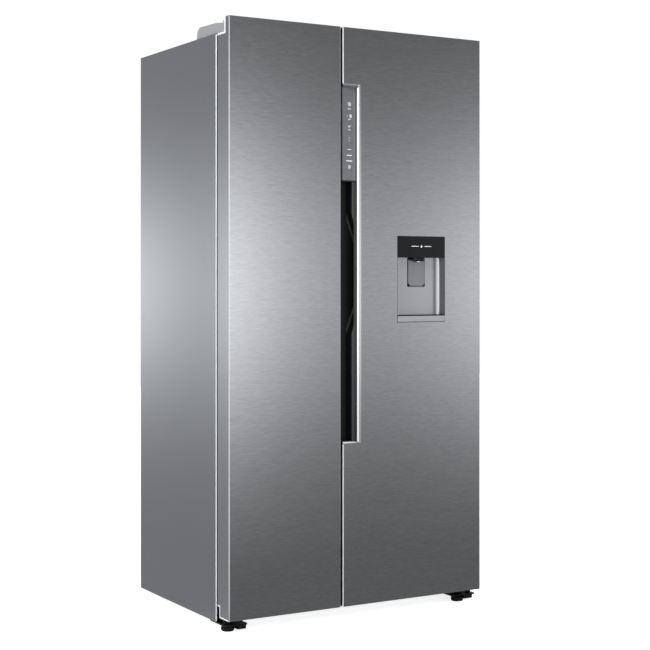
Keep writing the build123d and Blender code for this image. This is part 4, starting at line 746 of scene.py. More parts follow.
def swept_ring(
    name: str, node: str, growth: float, corner: float, section: Sequence[Point], finish: Finishes,
) -> Mesh:
    """Sweeps a section round the front of a solid's box.

    Args:
        name: name of the mesh.
        node: the solid.
        growth: how much wider and higher the path is than the box.
        corner: radius of the path's corners.
        section: corners of the section, across the path and towards the back.
        finish: finish of the mesh.

    Returns:
        The mesh, in place.
    """
    low, high = box(node)
    data = bpy.data.curves.new(name, "CURVE")
    line = data.splines.new("POLY")
    line.points.add(len(section) - 1)
    for point, (u, v) in zip(line.points, section):
        point.co = (u, v, 0.0, 1.0)
    line.use_cyclic_u = True
    profile = link_object(f"{name}_profile", data)
    mesh = grow(name, swept_frame, finish, {
        "Width": high.x - low.x + growth, "Height": high.z - low.z + growth, "Corner": corner,
        "Profile": profile,
    })
    bpy.data.objects.remove(profile)
    mesh.transform(Matrix.Translation(((low.x + high.x) / 2, low.y, (low.z + high.z) / 2)))
    return mesh


@dataclass
class Print:
    """Flat marks of ink, drawn in millimetres on a plane of the object.

    Attributes:
        origin: the plane's zero point, in metres.
        across: direction of the marks' first coordinate.
        ink_mm: thickness of the ink.
        figure_width: width of a figure, as a share of its height.
        stroke: thickness of a figure's strokes, as a share of its height.
        stroke_gap: gap between the strokes, as a share of their thickness.
        drop_radius: radius of a drop's round part, as a share of its height.
        mesh: the marks drawn so far.
    """

    origin: Vector
    across: Vector
    ink_mm: float = 0.08
    figure_width: float = 0.5
    stroke: float = 0.2
    stroke_gap: float = 0.2
    drop_radius: float = 0.36
    mesh: bmesh.types.BMesh = field(default_factory=bmesh.new)

    def spot(self, x: float, z: float, out: float) -> bmesh.types.BMVert:
        """Adds a point over the plane.

        Args:
            x: its place across.
            z: its height.
            out: its distance from the plane.

        Returns:
            The point.
        """
        up = Vector((0.0, 0.0, 1.0))
        place = self.across * x + up * z + self.across.cross(up) * out
        return self.mesh.verts.new(self.origin + place * MM)

    def plate(self, outline: Sequence[Point]) -> None:
        """Adds a plate of ink.

        Args:
            outline: the plate's corners, anticlockwise.
        """
        back = [self.spot(x, z, 0.0) for x, z in outline]
        front = [self.spot(x, z, self.ink_mm) for x, z in outline]
        self.mesh.faces.new(front)
        self.mesh.faces.new(back[::-1])
        for i in range(len(outline)):
            self.mesh.faces.new((back[i - 1], back[i], front[i], front[i - 1]))

    def bar(self, x: float, z: float, width: float, height: float) -> None:
        """Adds an upright rectangle about its middle."""
        a, b = width / 2, height / 2
        self.plate([(x - a, z - b), (x + a, z - b), (x + a, z + b), (x - a, z + b)])

    def disc(self, x: float, z: float, radius: float, steps: int = 20) -> None:
        """Adds a round dot."""
        self.plate(round_section(x, z, radius, steps))

    def ring(self, x: float, z: float, radius: float, line: float, steps: int = 24) -> None:
        """Adds a ring of short plates that meet.

        Args:
            x: place of its middle across.
            z: height of its middle.
            radius: its outer radius.
            line: width of its line.
            steps: number of plates.
        """
        turns = [2 * math.pi * i / steps for i in range(steps + 1)]
        for a, b in zip(turns, turns[1:]):
            ends = [(radius - line, a), (radius, a), (radius, b), (radius - line, b)]
            self.plate([(x + r * math.cos(t), z + r * math.sin(t)) for r, t in ends])

    def figure(self, x: float, z: float, height: float, strokes: str) -> None:
        """Adds a seven-stroke figure.

        Args:
            x: middle of the figure.
            z: middle of the figure's height.
            height: the figure's height.
            strokes: the strokes that are lit, a to g in the usual order.
        """
        w, h, line = height * self.figure_width, height / 2, height * self.stroke
        gap = line * self.stroke_gap
        places = {
            "a": (0, h, w, line), "b": (w / 2, h / 2, line, h), "c": (w / 2, -h / 2, line, h),
            "d": (0, -h, w, line), "e": (-w / 2, -h / 2, line, h), "f": (-w / 2, h / 2, line, h),
            "g": (0, 0, w, line),
        }
        for stroke in strokes:
            dx, dz, width, tall = places[stroke]
            self.bar(x + dx, z + dz, width - gap, tall - gap)

    def drop(self, x: float, z: float, height: float, steps: int = 18) -> None:
        """Adds a water drop.

        Args:
            x: place of its tip across.
            z: height of the middle of its round part.
            height: its whole height.
            steps: number of sides of its round part.
        """
        radius, start, sweep = height * self.drop_radius, 150, 240
        turns = [math.radians(start + sweep * i / steps) for i in range(steps + 1)]
        outline = [(x + radius * math.cos(t), z + radius * math.sin(t)) for t in turns]
        self.plate([*outline, (x, z + height - radius)])


# Sub-assemblies


@dataclass
class Assembly:
    """Carried-over solids and new pieces that belong together.

    Attributes:
        body: the body of the frame that the new pieces ride on.
        solids: finish of each carried-over solid, by its name.
    """

    body: str = "cabinet"
    solids: dict[str, Finishes] = field(default_factory=dict)

    def dress(self) -> None:
        """Gives each carried-over solid its finish."""
        for name, finish in self.solids.items():
            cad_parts[name].material_slots[0].material = finish.value.material()
            LOG.info("%s: %s", name, finish.value.name)

    def add(
        self, mesh: Mesh, slot: str, body: Optional[str] = None, replaced: Sequence[str] = (),
    ) -> bpy.types.Object:
        """Makes a mesh a piece of the refrigerator, with the mesh's name.

        Args:
            mesh: its mesh, in place and with its material.
            slot: the record's slot that its finish belongs to; not used.
            body: the body that it rides on, if not the sub-assembly's own.
            replaced: carried-over solids that it stands for.

        Returns:
            The piece.
        """
        piece = link_object(mesh.name, mesh)
        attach(piece, body or self.body)
        if replaced:
            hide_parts(*replaced)
        LOG.info("%s: %d faces on %s", piece.name, len(mesh.polygons), body or self.body)
        return piece

    def pieces(self) -> None:
        """Makes the new pieces; a plain sub-assembly has none."""

    def build(self) -> None:
        """Dresses the solids and makes the new pieces."""
        self.dress()
        self.pieces()


@dataclass
class Cabinet(Assembly):
    """Outer case with its foam, front rail, hinges and rear sheets.

    Attributes:
        sheet: thickness of the rear sheet.
        field_pitch: distance between the fields pressed out of the rear sheet.
        field_width: width of each field.
        field_slope: width of the slope round each field.
        field_margin: distance of the fields from the sheet's upper and lower edge.
        field_rise: how far the fields stand out.
        screw_washer: radius of the screws' washers.
        screw_hexagon: radius of their heads, over the corners.
        screw_rise: height of their heads.
        screw_rows: for each group of screws its sheet, inset from the edges, columns and rows.
        bead_radius: radius of the white beads on the case's front edges, which are painted highlights.
        bead_inset: distance of a bead's middle from the case's side.
        bead_lead: distance of a bead's middle behind the case's front.
        bead_end: distance of a bead's ends from those of the case.
    """

    sheet: float = 0.8 * MM
    field_pitch: float = 176.0 * MM
    field_width: float = 110.0 * MM
    field_slope: float = 14.0 * MM
    field_margin: float = 90.0 * MM
    field_rise: float = 2.6 * MM
    screw_washer: float = 6.0 * MM
    screw_hexagon: float = 4.2 * MM
    screw_rise: float = 3.2 * MM
    screw_rows: Mapping[str, tuple[str, float, int, int]] = field(default_factory=lambda: {
        "back_panel_screws_sides": ("back_panel", 9.0 * MM, 2, 7),
        "back_panel_screws_ends": ("back_panel", 9.02 * MM, 5, 2),
        "machine_cover_screws": ("machine_cover", 12.0 * MM, 4, 2),
    })
    bead_radius: float = 1.7 * MM
    bead_inset: float = 1.9 * MM
    bead_lead: float = 0.7 * MM
    bead_end: float = 3.0 * MM
    solids: dict[str, Finishes] = field(default_factory=lambda: {
        "cabinet_case": Finishes.SILVER_CASE,
        "cabinet_foam": Finishes.FACED_FOAM,
        "front_rail": Finishes.SILVER_COATED_STEEL,
        "base_pan": Finishes.GALVANISED_SHEET,
        "back_panel": Finishes.GALVANISED_SHEET,
        "machine_cover": Finishes.GALVANISED_SHEET,
        "cord_gland": Finishes.BLACK_RUBBER,
        "top_hinges": Finishes.ZINC_PLATE,
        "hinge_covers": Finishes.GREY_ABS,
        "lower_hinges": Finishes.BLACK_COATED_STEEL,
    })

    def stand(self, mesh: Mesh, low: Vector, high: Vector) -> None:
        """Turns a level mesh to face backwards and moves it to the rear of a box."""
        turn = Matrix.Rotation(math.radians(-90), 4, "X")
        mesh.transform(Matrix.Translation(((low.x + high.x) / 2, high.y, (low.z + high.z) / 2)) @ turn)

    def rear_sheet(self) -> None:
        """Presses the rear sheet, in place of the flat one."""
        low, high = box("back_panel")
        tall = high.z - low.z
        mesh = grow("pressed_back_panel", pressed_sheet, Finishes.GALVANISED_SHEET, {
            "Width": high.x - low.x, "Height": tall, "Half Pitch": self.field_pitch / 2,
            "Half Field": self.field_width / 2, "Reach": tall / 2 - self.field_margin,
            "Slope": self.field_slope, "Rise": self.field_rise,
        })
        self.stand(mesh, low, high)
        piece = self.add(mesh, "zinc_sheet", replaced=("back_panel",))
        wall = piece.modifiers.new("thickness", "SOLIDIFY")
        wall.thickness = self.sheet
        wall.offset = -1.0

    def screws(self) -> None:
        """Drives the screws through both rear sheets."""
        for name, (node, inset, columns, rows) in self.screw_rows.items():
            low, high = box(node)
            mesh = grow(name, screw_field, Finishes.ZINC_PLATE, {
                "Width": high.x - low.x - 2 * inset, "Height": high.z - low.z - 2 * inset, "Columns": columns,
                "Rows": rows, "Washer": self.screw_washer, "Hexagon": self.screw_hexagon,
                "Rise": self.screw_rise,
            })
            self.stand(mesh, low, high)
            self.add(mesh, "zinc_sheet")

    def beads(self) -> None:
        """Sets a white bead in the rounding of each front edge of the case, as a painted highlight."""
        low, high = box("cabinet_case")
        ends = (low.z + self.bead_end, high.z - self.bead_end)
        for side, x in (("left", low.x + self.bead_inset), ("right", high.x - self.bead_inset)):
            section = round_section(x, low.y + self.bead_lead, self.bead_radius)
            mesh = straight_strip(f"case_bead_{side}", section, ends, Finishes.WHITE_STYRENE)
            self.add(mesh, "liner_white")

    def pieces(self) -> None:
        """Makes the highlight beads, the screws of both sheets and the rear sheet."""
        self.beads()
        self.screws()
        self.rear_sheet()


class DoorSide(Enum):
    """The two doors, by the first part of their solids' names."""

    FREEZER = "freezer_door"
    FRIDGE = "fridge_door"


@dataclass
class Door(Assembly):
    """Foamed door with its steel skin, liner, end caps, bins and bellows seal.

    Attributes:
        side: which door it is.
        seal_width: width of the seal.
        seal_corner: radius of the seal's corners on its middle line.
        seal_half: right half of the seal's section, in shares of its half width and its depth: a foot in the
            liner, two pleats and the magnet's flat tube.
        strip_proud: how far the edge strips, painted shade of the gap between the doors, stand out of the
            door's edge.
        strip_bevel: share of that at which their bevels begin.
        strip_setback: distance of the strips behind the door's face.
        strip_reach: distance of the strips' rear behind the door's face.
        strip_end: distance between the strips and the grip.
        strip_drop: distance of the upper strip below the door's top.
        strip_foot: distance of the lower strip above the door's bottom.
        bead_radius: radius of the pale bead, a painted highlight.
        bead_inset: distance of the bead's middle from the door's edge and face.
    """

    side: DoorSide = DoorSide.FREEZER
    seal_width: float = 16.0 * MM
    seal_corner: float = 10.0 * MM
    seal_half: Sequence[Point] = (
        (0.86, 0.0), (0.95, 0.12), (0.80, 0.22), (0.56, 0.28), (0.86, 0.38), (0.90, 0.48), (0.58, 0.58),
        (0.76, 0.68), (0.97, 0.74), (1.0, 0.90), (0.88, 1.0),
    )
    strip_proud: float = 1.2 * MM
    strip_bevel: float = 0.6
    strip_setback: float = 5.0 * MM
    strip_reach: float = 29.0 * MM
    strip_end: float = 2.0 * MM
    strip_drop: float = 0.5 * MM
    strip_foot: float = 3.0 * MM
    bead_radius: float = 1.5 * MM
    bead_inset: float = 0.8 * MM

    def __post_init__(self) -> None:
        """Names the body and the solids for the side."""
        self.body = self.side.value
        finishes = {
            "skin": Finishes.BRUSHED_STAINLESS,
            "foam": Finishes.RIGID_FOAM,
            "liner": Finishes.WHITE_STYRENE,
            "top_cap": Finishes.PALE_ABS,
            "bottom_cap": Finishes.PALE_ABS,
            "gasket": Finishes.SOFT_VINYL,
            "handle": Finishes.BLACK_ABS,
            "bins": Finishes.CLEAR_STYRENE,
        }
        self.solids = {f"{self.body}_{part}": finish for part, finish in finishes.items()}

    def seal(self) -> None:
        """Sweeps the bellows seal round the door's inner face, in place of the plain ring."""
        node = f"{self.body}_gasket"
        low, high = box(node)
        half, depth = self.seal_width / 2, high.y - low.y
        outline = [*self.seal_half, *((-u, v) for u, v in reversed(self.seal_half))]
        section = [(u * half, v * depth) for u, v in outline]
        mesh = swept_ring(
            f"{self.body}_seal", node, -self.seal_width, self.seal_corner, section, Finishes.SOFT_VINYL,
        )
        self.add(mesh, "seal_grey", replaced=(node,))

    def edge_strips(self) -> None:
        """Sets soft black strips above and below the grip, on the edge that faces the other door, as painted
        shade of the gap between the doors.

        The door with the grip frame has a pale bead on that edge, a painted highlight that carries the frame's
        line on.
        """
        low, high = box(f"{self.body}_skin")
        framed = self.side is DoorSide.FRIDGE
        out, edge, upper = (-1, low.x, "control_panel") if framed else (1, high.x, "freezer_door_handle")
        front, rear, proud = low.y + self.strip_setback, low.y + self.strip_reach, self.strip_proud
        bevel = self.strip_bevel
        depths = (
            (0.0, front), (0.0, rear), (bevel, rear), (1.0, rear - proud), (1.0, front + proud),
            (bevel, front),
        )
        section = [(edge + out * share * proud, y) for share, y in depths]
        bead = round_section(edge + self.bead_inset, low.y + self.bead_inset, self.bead_radius)
        grip_low, grip_high = box(f"{self.body}_handle")[0].z, box(upper)[1].z
        for place, start, end in (
            ("upper", grip_high + self.strip_end, high.z - self.strip_drop),
            ("lower", low.z + self.strip_foot, grip_low - self.strip_end),
        ):
            name = f"{self.body}_edge_strip_{place}"
            self.add(straight_strip(name, section, (start, end), Finishes.BLACK_RUBBER), "rubber_black")
            if framed:
                name = f"{self.body}_edge_bead_{place}"
                mesh = straight_strip(name, bead, (start - self.strip_end, end), Finishes.PALE_ABS)
                self.add(mesh, "cap_grey")

    def pieces(self) -> None:
        """Makes the seal and the edge strips of painted shade."""
        self.seal()
        self.edge_strips()


@dataclass
class GripChannel(Assembly):
    """Metal frame of the grip and the display above it; the display's sizes are in millimetres.

    Attributes:
        middle_x: where the display's marks are centred.
        plane_left: place of the display's left edge, and its distance behind the door's face.
        plane_right: the same of its right edge.
        door_face: place of the door's face.
        rings: place across, height, radius, line and corners of each ring.
        dots: height and radius of each dot.
        bars: height, width and thickness of each bar.
        figures: place across, height and strokes of each figure.
        figure_height: height of the figures.
    """

    body: str = "fridge_door"
    middle_x: float = -38.0
    plane_left: Point = (-65.0, 3.0)
    plane_right: Point = (-12.0, 11.0)
    door_face: float = -322.9
    rings: Sequence[tuple[float, float, float, float, int]] = (
        (0.0, 1577.0, 5.6, 1.6, 24), (4.0, 1511.0, 1.6, 0.7, 14), (0.0, 1384.4, 5.0, 1.3, 24),
    )
    dots: Sequence[Point] = ((1577.0, 1.5), (1473.5, 1.5), (1464.0, 1.5), (1384.4, 1.6))
    bars: Sequence[Spot] = (
        (1562.6, 14.0, 1.6), (1531.0, 10.0, 1.6), (1498.0, 10.0, 1.6), (1438.0, 16.0, 1.6),
        (1420.0, 20.0, 2.4), (1402.8, 24.0, 2.4),
    )
    figures: Sequence[tuple[float, float, str]] = (
        (-8.5, 1540.5, "g"), (-1.0, 1540.5, "bc"), (6.5, 1540.5, "abcdefg"), (-2.0, 1507.5, "bcfg"),
    )
    figure_height: float = 9.0
    solids: dict[str, Finishes] = field(default_factory=lambda: {
        "handle_trim": Finishes.BRIGHT_ALUMINIUM,
        "control_panel": Finishes.SILVER_PANEL,
    })

    def pieces(self) -> None:
        """Prints the display's marks."""
        (x0, y0), (x1, y1) = self.plane_left, self.plane_right
        slope = (y1 - y0) / (x1 - x0)
        middle_y = self.door_face + y0 + (self.middle_x - x0) * slope
        across = Vector((1.0, slope, 0.0)).normalized()
        ink = Print(Vector((self.middle_x * MM, middle_y * MM, 0.0)), across)
        for ring in self.rings:
            ink.ring(*ring)
        for z, radius in self.dots:
            ink.disc(0.0, z, radius)
        for bar in self.bars:
            ink.bar(0.0, *bar)
        for x, z, strokes in self.figures:
            ink.figure(x, z, self.figure_height, strokes)
        self.add(end_shape(ink.mesh, "display_marks", Finishes.WHITE_INK), "liner_white")


@dataclass
class Dispenser(Assembly):
    """Water dispenser in the right door, with its tank behind.

    Attributes:
        marks_z: height of the fascia's marks, in millimetres.
        drop: how far the drop's middle lies below that, and its height, in millimetres.
        line: width and thickness of the lines beside the drop, in millimetres.
        line_reach: distance of the lines' middles from the drop, in millimetres.
        bead: width of the dark bead round the housing, painted shade of the gap there.
        bead_section: section of the bead, in shares of its half width.
        liner: thickness of the liner at the tray's seat.
        liner_start: how far behind the door's face the liner begins.
        liner_end: how far behind the door's face it ends.
        liner_air: its distance from the cut edge that it covers.
        tip_section: radius and rise above the spout's end of the tip's corners, in millimetres.
        tip_steps: corners of the tip seen from below.
    """

    body: str = "fridge_door"
    marks_z: float = 1143.8
    drop: Point = (1.0, 8.0)
    line: Point = (26.0, 1.8)
    line_reach: float = 24.0
    bead: float = 1.2 * MM
    bead_section: Sequence[Point] = (
        (-1.0, -0.1), (-0.5, -0.6), (0.5, -0.6), (1.0, -0.1), (1.0, 0.5), (-1.0, 0.5),
    )
    liner: float = 0.2 * MM
    liner_start: float = 0.75 * MM
    liner_end: float = 3.55 * MM
    liner_air: float = 0.02 * MM
    tip_section: Sequence[Point] = (
        (4.2, 3.0), (4.2, -3.2), (4.9, -4.0), (6.2, -3.2), (6.5, -2.2), (6.5, 3.0),
    )
    tip_steps: int = 32
    solids: dict[str, Finishes] = field(default_factory=lambda: {
        "dispenser_housing": Finishes.SILVER_NICHE,
        "dispenser_fascia": Finishes.GLOSS_BLACK,
        "dispenser_nozzle": Finishes.GLOSS_BLACK,
        "dispenser_paddle": Finishes.SILVER_PADDLE,
        "drip_tray": Finishes.SILVER_TRAY,
        "water_tank": Finishes.CLEAR_STYRENE,
        "tank_lid": Finishes.WHITE_STYRENE,
    })

    def surround(self) -> None:
        """Lays the thin dark bead round the housing, as painted shade of the gap between the housing and the
        door's skin.
        """
        section = [(u * self.bead / 2, v * self.bead / 2) for u, v in self.bead_section]
        mesh = swept_ring(
            "dispenser_bead", "dispenser_housing", self.bead, self.bead, section, Finishes.BLACK_RUBBER,
        )
        self.add(mesh, "rubber_black")

    def seat_liner(self) -> None:
        """Lines the cut edge of the insulation at the tray's seat, which shows once the tray is out."""
        low, high = box("dispenser_housing")
        top = box("drip_tray")[1].z
        left, right, foot = low.x + self.liner_air, high.x - self.liner_air, low.z + self.liner_air
        section = (
            (left, top), (left, foot), (right, foot), (right, top),
            (right - self.liner, top), (right - self.liner, foot + self.liner),
            (left + self.liner, foot + self.liner), (left + self.liner, top),
        )
        ends = (-low.y - self.liner_end, -low.y - self.liner_start)
        mesh = straight_strip("tray_seat_liner", section, ends, Finishes.BLACK_RUBBER)
        mesh.transform(Matrix.Rotation(math.pi / 2, 4, "X"))
        self.add(mesh, "rubber_black")

    def spout_tip(self) -> None:
        """Turns the bright tip of the spout."""
        low, high = box("dispenser_nozzle")
        x, y = (low.x + high.x) / 2, (low.y + high.y) / 2
        turns = [2 * math.pi * i / self.tip_steps for i in range(self.tip_steps)]
        rings = [
            [
                (x + r * MM * math.cos(t), y + r * MM * math.sin(t), low.z + z * MM)
                for r, z in self.tip_section
            ]
            for t in turns
        ]
        self.add(loft("spout_tip", rings, False, Finishes.BRIGHT_ALUMINIUM), "bright_trim")

    def marks(self) -> None:
        """Prints a drop between two short lines on the fascia."""
        low, high = box("dispenser_fascia")
        ink = Print(Vector(((low.x + high.x) / 2, low.y, 0.0)), Vector((1.0, 0.0, 0.0)))
        below, height = self.drop
        ink.drop(0.0, self.marks_z - below, height)
        for x in (-self.line_reach, self.line_reach):
            ink.bar(x, self.marks_z, *self.line)
        self.add(end_shape(ink.mesh, "fascia_marks", Finishes.WHITE_INK), "liner_white")

    def pieces(self) -> None:
        """Makes the dark bead of painted shade, the seat's liner, the spout's tip and the marks."""
        self.surround()
        self.seat_liner()
        self.spout_tip()
        self.marks()


@dataclass
class ColdSpaces(Assembly):
    """Both liners with their shelves, drawers, air covers and lamps."""

    solids: dict[str, Finishes] = field(default_factory=lambda: {
        "freezer_liner": Finishes.WHITE_STYRENE,
        "fridge_liner": Finishes.WHITE_STYRENE,
        "evaporator": Finishes.MILL_ALUMINIUM,
        "evaporator_cover": Finishes.WHITE_STYRENE,
        "evaporator_fan": Finishes.NATURAL_PROPYLENE,
        "fridge_air_duct": Finishes.WHITE_STYRENE,
        "lamp_lenses": Finishes.FROSTED_ACRYLIC,
        "glass_shelves": Finishes.SHELF_GLASS,
        "shelf_trims": Finishes.SATIN_SILVER,
        "freezer_drawer_upper": Finishes.CLEAR_STYRENE,
        "freezer_drawer_lower": Finishes.CLEAR_STYRENE,
        "crisper_upper": Finishes.CLEAR_STYRENE,
        "crisper_lower": Finishes.CLEAR_STYRENE,
    })


@dataclass
class MachineBay(Assembly):
    """Compressor, condenser and fan behind the louvred cover.

    Attributes:
        nut: radius of the nuts that hold the compressor's plate, over their corners.
        washer: radius of the washers below them.
        nut_rise: height of a nut with its washer.
        plate: thickness of the compressor's plate.
        mount: radius of the rubber mounts.
    """

    nut: float = 6.5 * MM
    washer: float = 9.0 * MM
    nut_rise: float = 6.0 * MM
    plate: float = 3.0 * MM
    mount: float = 14.0 * MM
    solids: dict[str, Finishes] = field(default_factory=lambda: {
        "compressor": Finishes.BLACK_ENAMEL,
        "compressor_mounts": Finishes.BLACK_RUBBER,
        "condenser_coil": Finishes.BLACK_COATED_STEEL,
        "condenser_fan": Finishes.NATURAL_PROPYLENE,
        "fan_shroud": Finishes.GREY_PROPYLENE,
        "fan_motors": Finishes.MOTOR_PAINT,
        "drain_pan": Finishes.GREY_PROPYLENE,
    })

    def pieces(self) -> None:
        """Sets a nut and washer on the compressor's plate above each mount."""
        low, high = box("compressor_mounts")
        mesh = grow("compressor_nuts", screw_field, Finishes.ZINC_PLATE, {
            "Width": high.x - low.x - 2 * self.mount, "Height": high.y - low.y - 2 * self.mount, "Columns": 2,
            "Rows": 2, "Washer": self.washer, "Hexagon": self.nut, "Rise": self.nut_rise,
        })
        middle = (low + high) / 2
        mesh.transform(Matrix.Translation((middle.x, middle.y, high.z + self.plate)))
        self.add(mesh, "zinc_sheet")


@dataclass
class Standing(Assembly):
    """Levelling feet in front and rollers behind.

    Attributes:
        ribs: number of grip ribs round a foot.
        rib: radius of a rib.
        rib_height: height of the ribs.
        rib_middle: height of the ribs' middles above the floor.
    """

    ribs: int = 28
    rib: float = 0.9 * MM
    rib_height: float = 7.0 * MM
    rib_middle: float = 7.0 * MM
    solids: dict[str, Finishes] = field(default_factory=lambda: {
        "front_foot_left": Finishes.BLACK_NYLON,
        "front_foot_right": Finishes.BLACK_NYLON,
        "rear_roller_left": Finishes.GREY_ACETAL,
        "rear_roller_right": Finishes.GREY_ACETAL,
        "roller_brackets": Finishes.GALVANISED_SHEET,
    })

    def pieces(self) -> None:
        """Sets grip ribs round both feet."""
        for foot in ("front_foot_left", "front_foot_right"):
            low, high = box(foot)
            mesh = grow(f"{foot}_ribs", rib_ring, Finishes.BLACK_NYLON, {
                "Radius": (high.x - low.x) / 2, "Count": self.ribs, "Rib": self.rib,
                "Height": self.rib_height,
            })
            middle = (low + high) / 2
            mesh.transform(Matrix.Translation((middle.x, middle.y, low.z + self.rib_middle)))
            self.add(mesh, "foot_black", body=foot)


# Studio


@dataclass
class Card:
    """A graded light panel that only mirrors see, as a photographer's soft boxes and flags.

    Attributes:
        name: the card's name.
        corners: lowest and highest corner; the card is flat along its thin side.
        stops: strength of the light at places along the card's level side.
        middle: height of the brightest line.
        spread: height over which the light falls to a third of its strength.
        least: strength of the card's dim parts.
        fade: length over which the card passes into the white room, from its first end.
    """

    name: str
    corners: tuple[Spot, Spot]
    stops: Sequence[Point] = ((0.0, 0.0), (1.0, 0.0))
    middle: float = 1.05
    spread: float = 0.6
    least: float = 0.15
    fade: float = 0.0

    def across(self, tree: Tree, value: Socket) -> Socket:
        """Turns a place along the card into a strength.

        A ramp holds no strength above 1, so the stops are divided by their peak and multiplied again.

        Args:
            tree: the node tree that receives the nodes.
            value: the place along the card.

        Returns:
            The strength there.
        """
        low, high = self.stops[0][0], self.stops[-1][0]
        peak = max(1.0, *(strength for _, strength in self.stops))
        inputs = {"Value": value, "From Min": low, "From Max": high}
        share = add_node(tree, "ShaderNodeMapRange", inputs).outputs[0]
        ramp = add_node(tree, "ShaderNodeValToRGB", {0: share})
        ramp.color_ramp.interpolation = "CARDINAL"
        while len(ramp.color_ramp.elements) < len(self.stops):
            ramp.color_ramp.elements.new(0.5)
        for element, (where, strength) in zip(ramp.color_ramp.elements, self.stops):
            element.position = (where - low) / (high - low)
            element.color = (strength / peak, strength / peak, strength / peak, 1.0)
        inputs = {0: ramp.outputs[0], 1: peak}
        return add_node(tree, "ShaderNodeMath", inputs, operation="MULTIPLY").outputs[0]

    def upward(self, tree: Tree, height: Socket) -> Socket:
        """Turns a height into a share that falls off like a bell above and below the middle.

        Args:
            tree: the node tree that receives the nodes.
            height: the height above the floor.

        Returns:
            The share, 1 at the middle.
        """
        share = height
        for operation, constant in (
            ("SUBTRACT", self.middle), ("DIVIDE", self.spread), ("POWER", 2.0), ("MULTIPLY", -1.0),
        ):
            share = add_node(tree, "ShaderNodeMath", {0: share, 1: constant}, operation=operation).outputs[0]
        return add_node(tree, "ShaderNodeMath", {0: share}, operation="EXPONENT").outputs[0]

    def light(self) -> bpy.types.Material:
        """Makes the card's light.

        Returns:
            The material that gives it off.
        """
        (x0, y0, _), (x1, y1, _) = self.corners
        axis, start = ("X", x0) if x1 - x0 > y1 - y0 else ("Y", y0)
        made = bpy.data.materials.new(self.name)
        tree = clear_tree(made)
        spot = add_node(tree, "ShaderNodeTexCoord").outputs["Object"]
        axes = add_node(tree, "ShaderNodeSeparateXYZ", {0: spot}).outputs
        inputs = {0: self.across(tree, axes[axis]), 1: self.upward(tree, axes["Z"]), 2: self.least}
        glow = add_node(tree, "ShaderNodeMath", inputs, operation="MULTIPLY_ADD").outputs[0]
        if self.fade:
            inputs = {"Value": axes[axis], "From Min": start, "From Max": start + self.fade}
            share = add_node(tree, "ShaderNodeMapRange", inputs, interpolation_type="SMOOTHSTEP").outputs[0]
            glow = add_node(tree, "ShaderNodeMix", {0: share, 2: 1.0, 3: glow}).outputs[0]
        lamp = add_node(tree, "ShaderNodeEmission", {"Strength": glow})
        add_node(tree, "ShaderNodeOutputMaterial", {"Surface": lamp.outputs[0]})
        return made

    def build(self) -> None:
        """Makes the card with its light and hides it from all rays but those of mirrors."""
        (x0, y0, z0), (x1, y1, z1) = self.corners
        spots = [(x0, y0, z0), (x1, y1, z0), (x1, y1, z1), (x0, y0, z1)]
        if z0 == z1:
            spots = [(x0, y0, z0), (x1, y0, z0), (x1, y1, z0), (x0, y1, z0)]
        mesh = bpy.data.meshes.new(self.name)
        mesh.from_pydata(spots, [], [(0, 1, 2, 3)])
        mesh.materials.append(self.light())
        card = link_object(self.name, mesh)
        card.visible_camera = False
        card.visible_diffuse = False
        card.visible_shadow = False
        card.visible_transmission = False


@dataclass
class Lamp:
    """A soft square lamp that mirrors don't show.

    Attributes:
        name: the lamp's name.
        spot: its place.
        aim: the point it faces.
        size: its side.
        power: its power in watts.
    """

    name: str
    spot: Spot
    aim: Spot
    size: float
    power: float

    def build(self) -> None:
        """Hangs the lamp."""
        data = bpy.data.lights.new(self.name, "AREA")
        data.size = self.size
        data.energy = self.power
        made = link_object(self.name, data)
        made.location = self.spot
        made.rotation_euler = (Vector(self.aim) - Vector(self.spot)).to_track_quat("-Z", "Y").to_euler()
        made.visible_glossy = False
        made.visible_camera = False


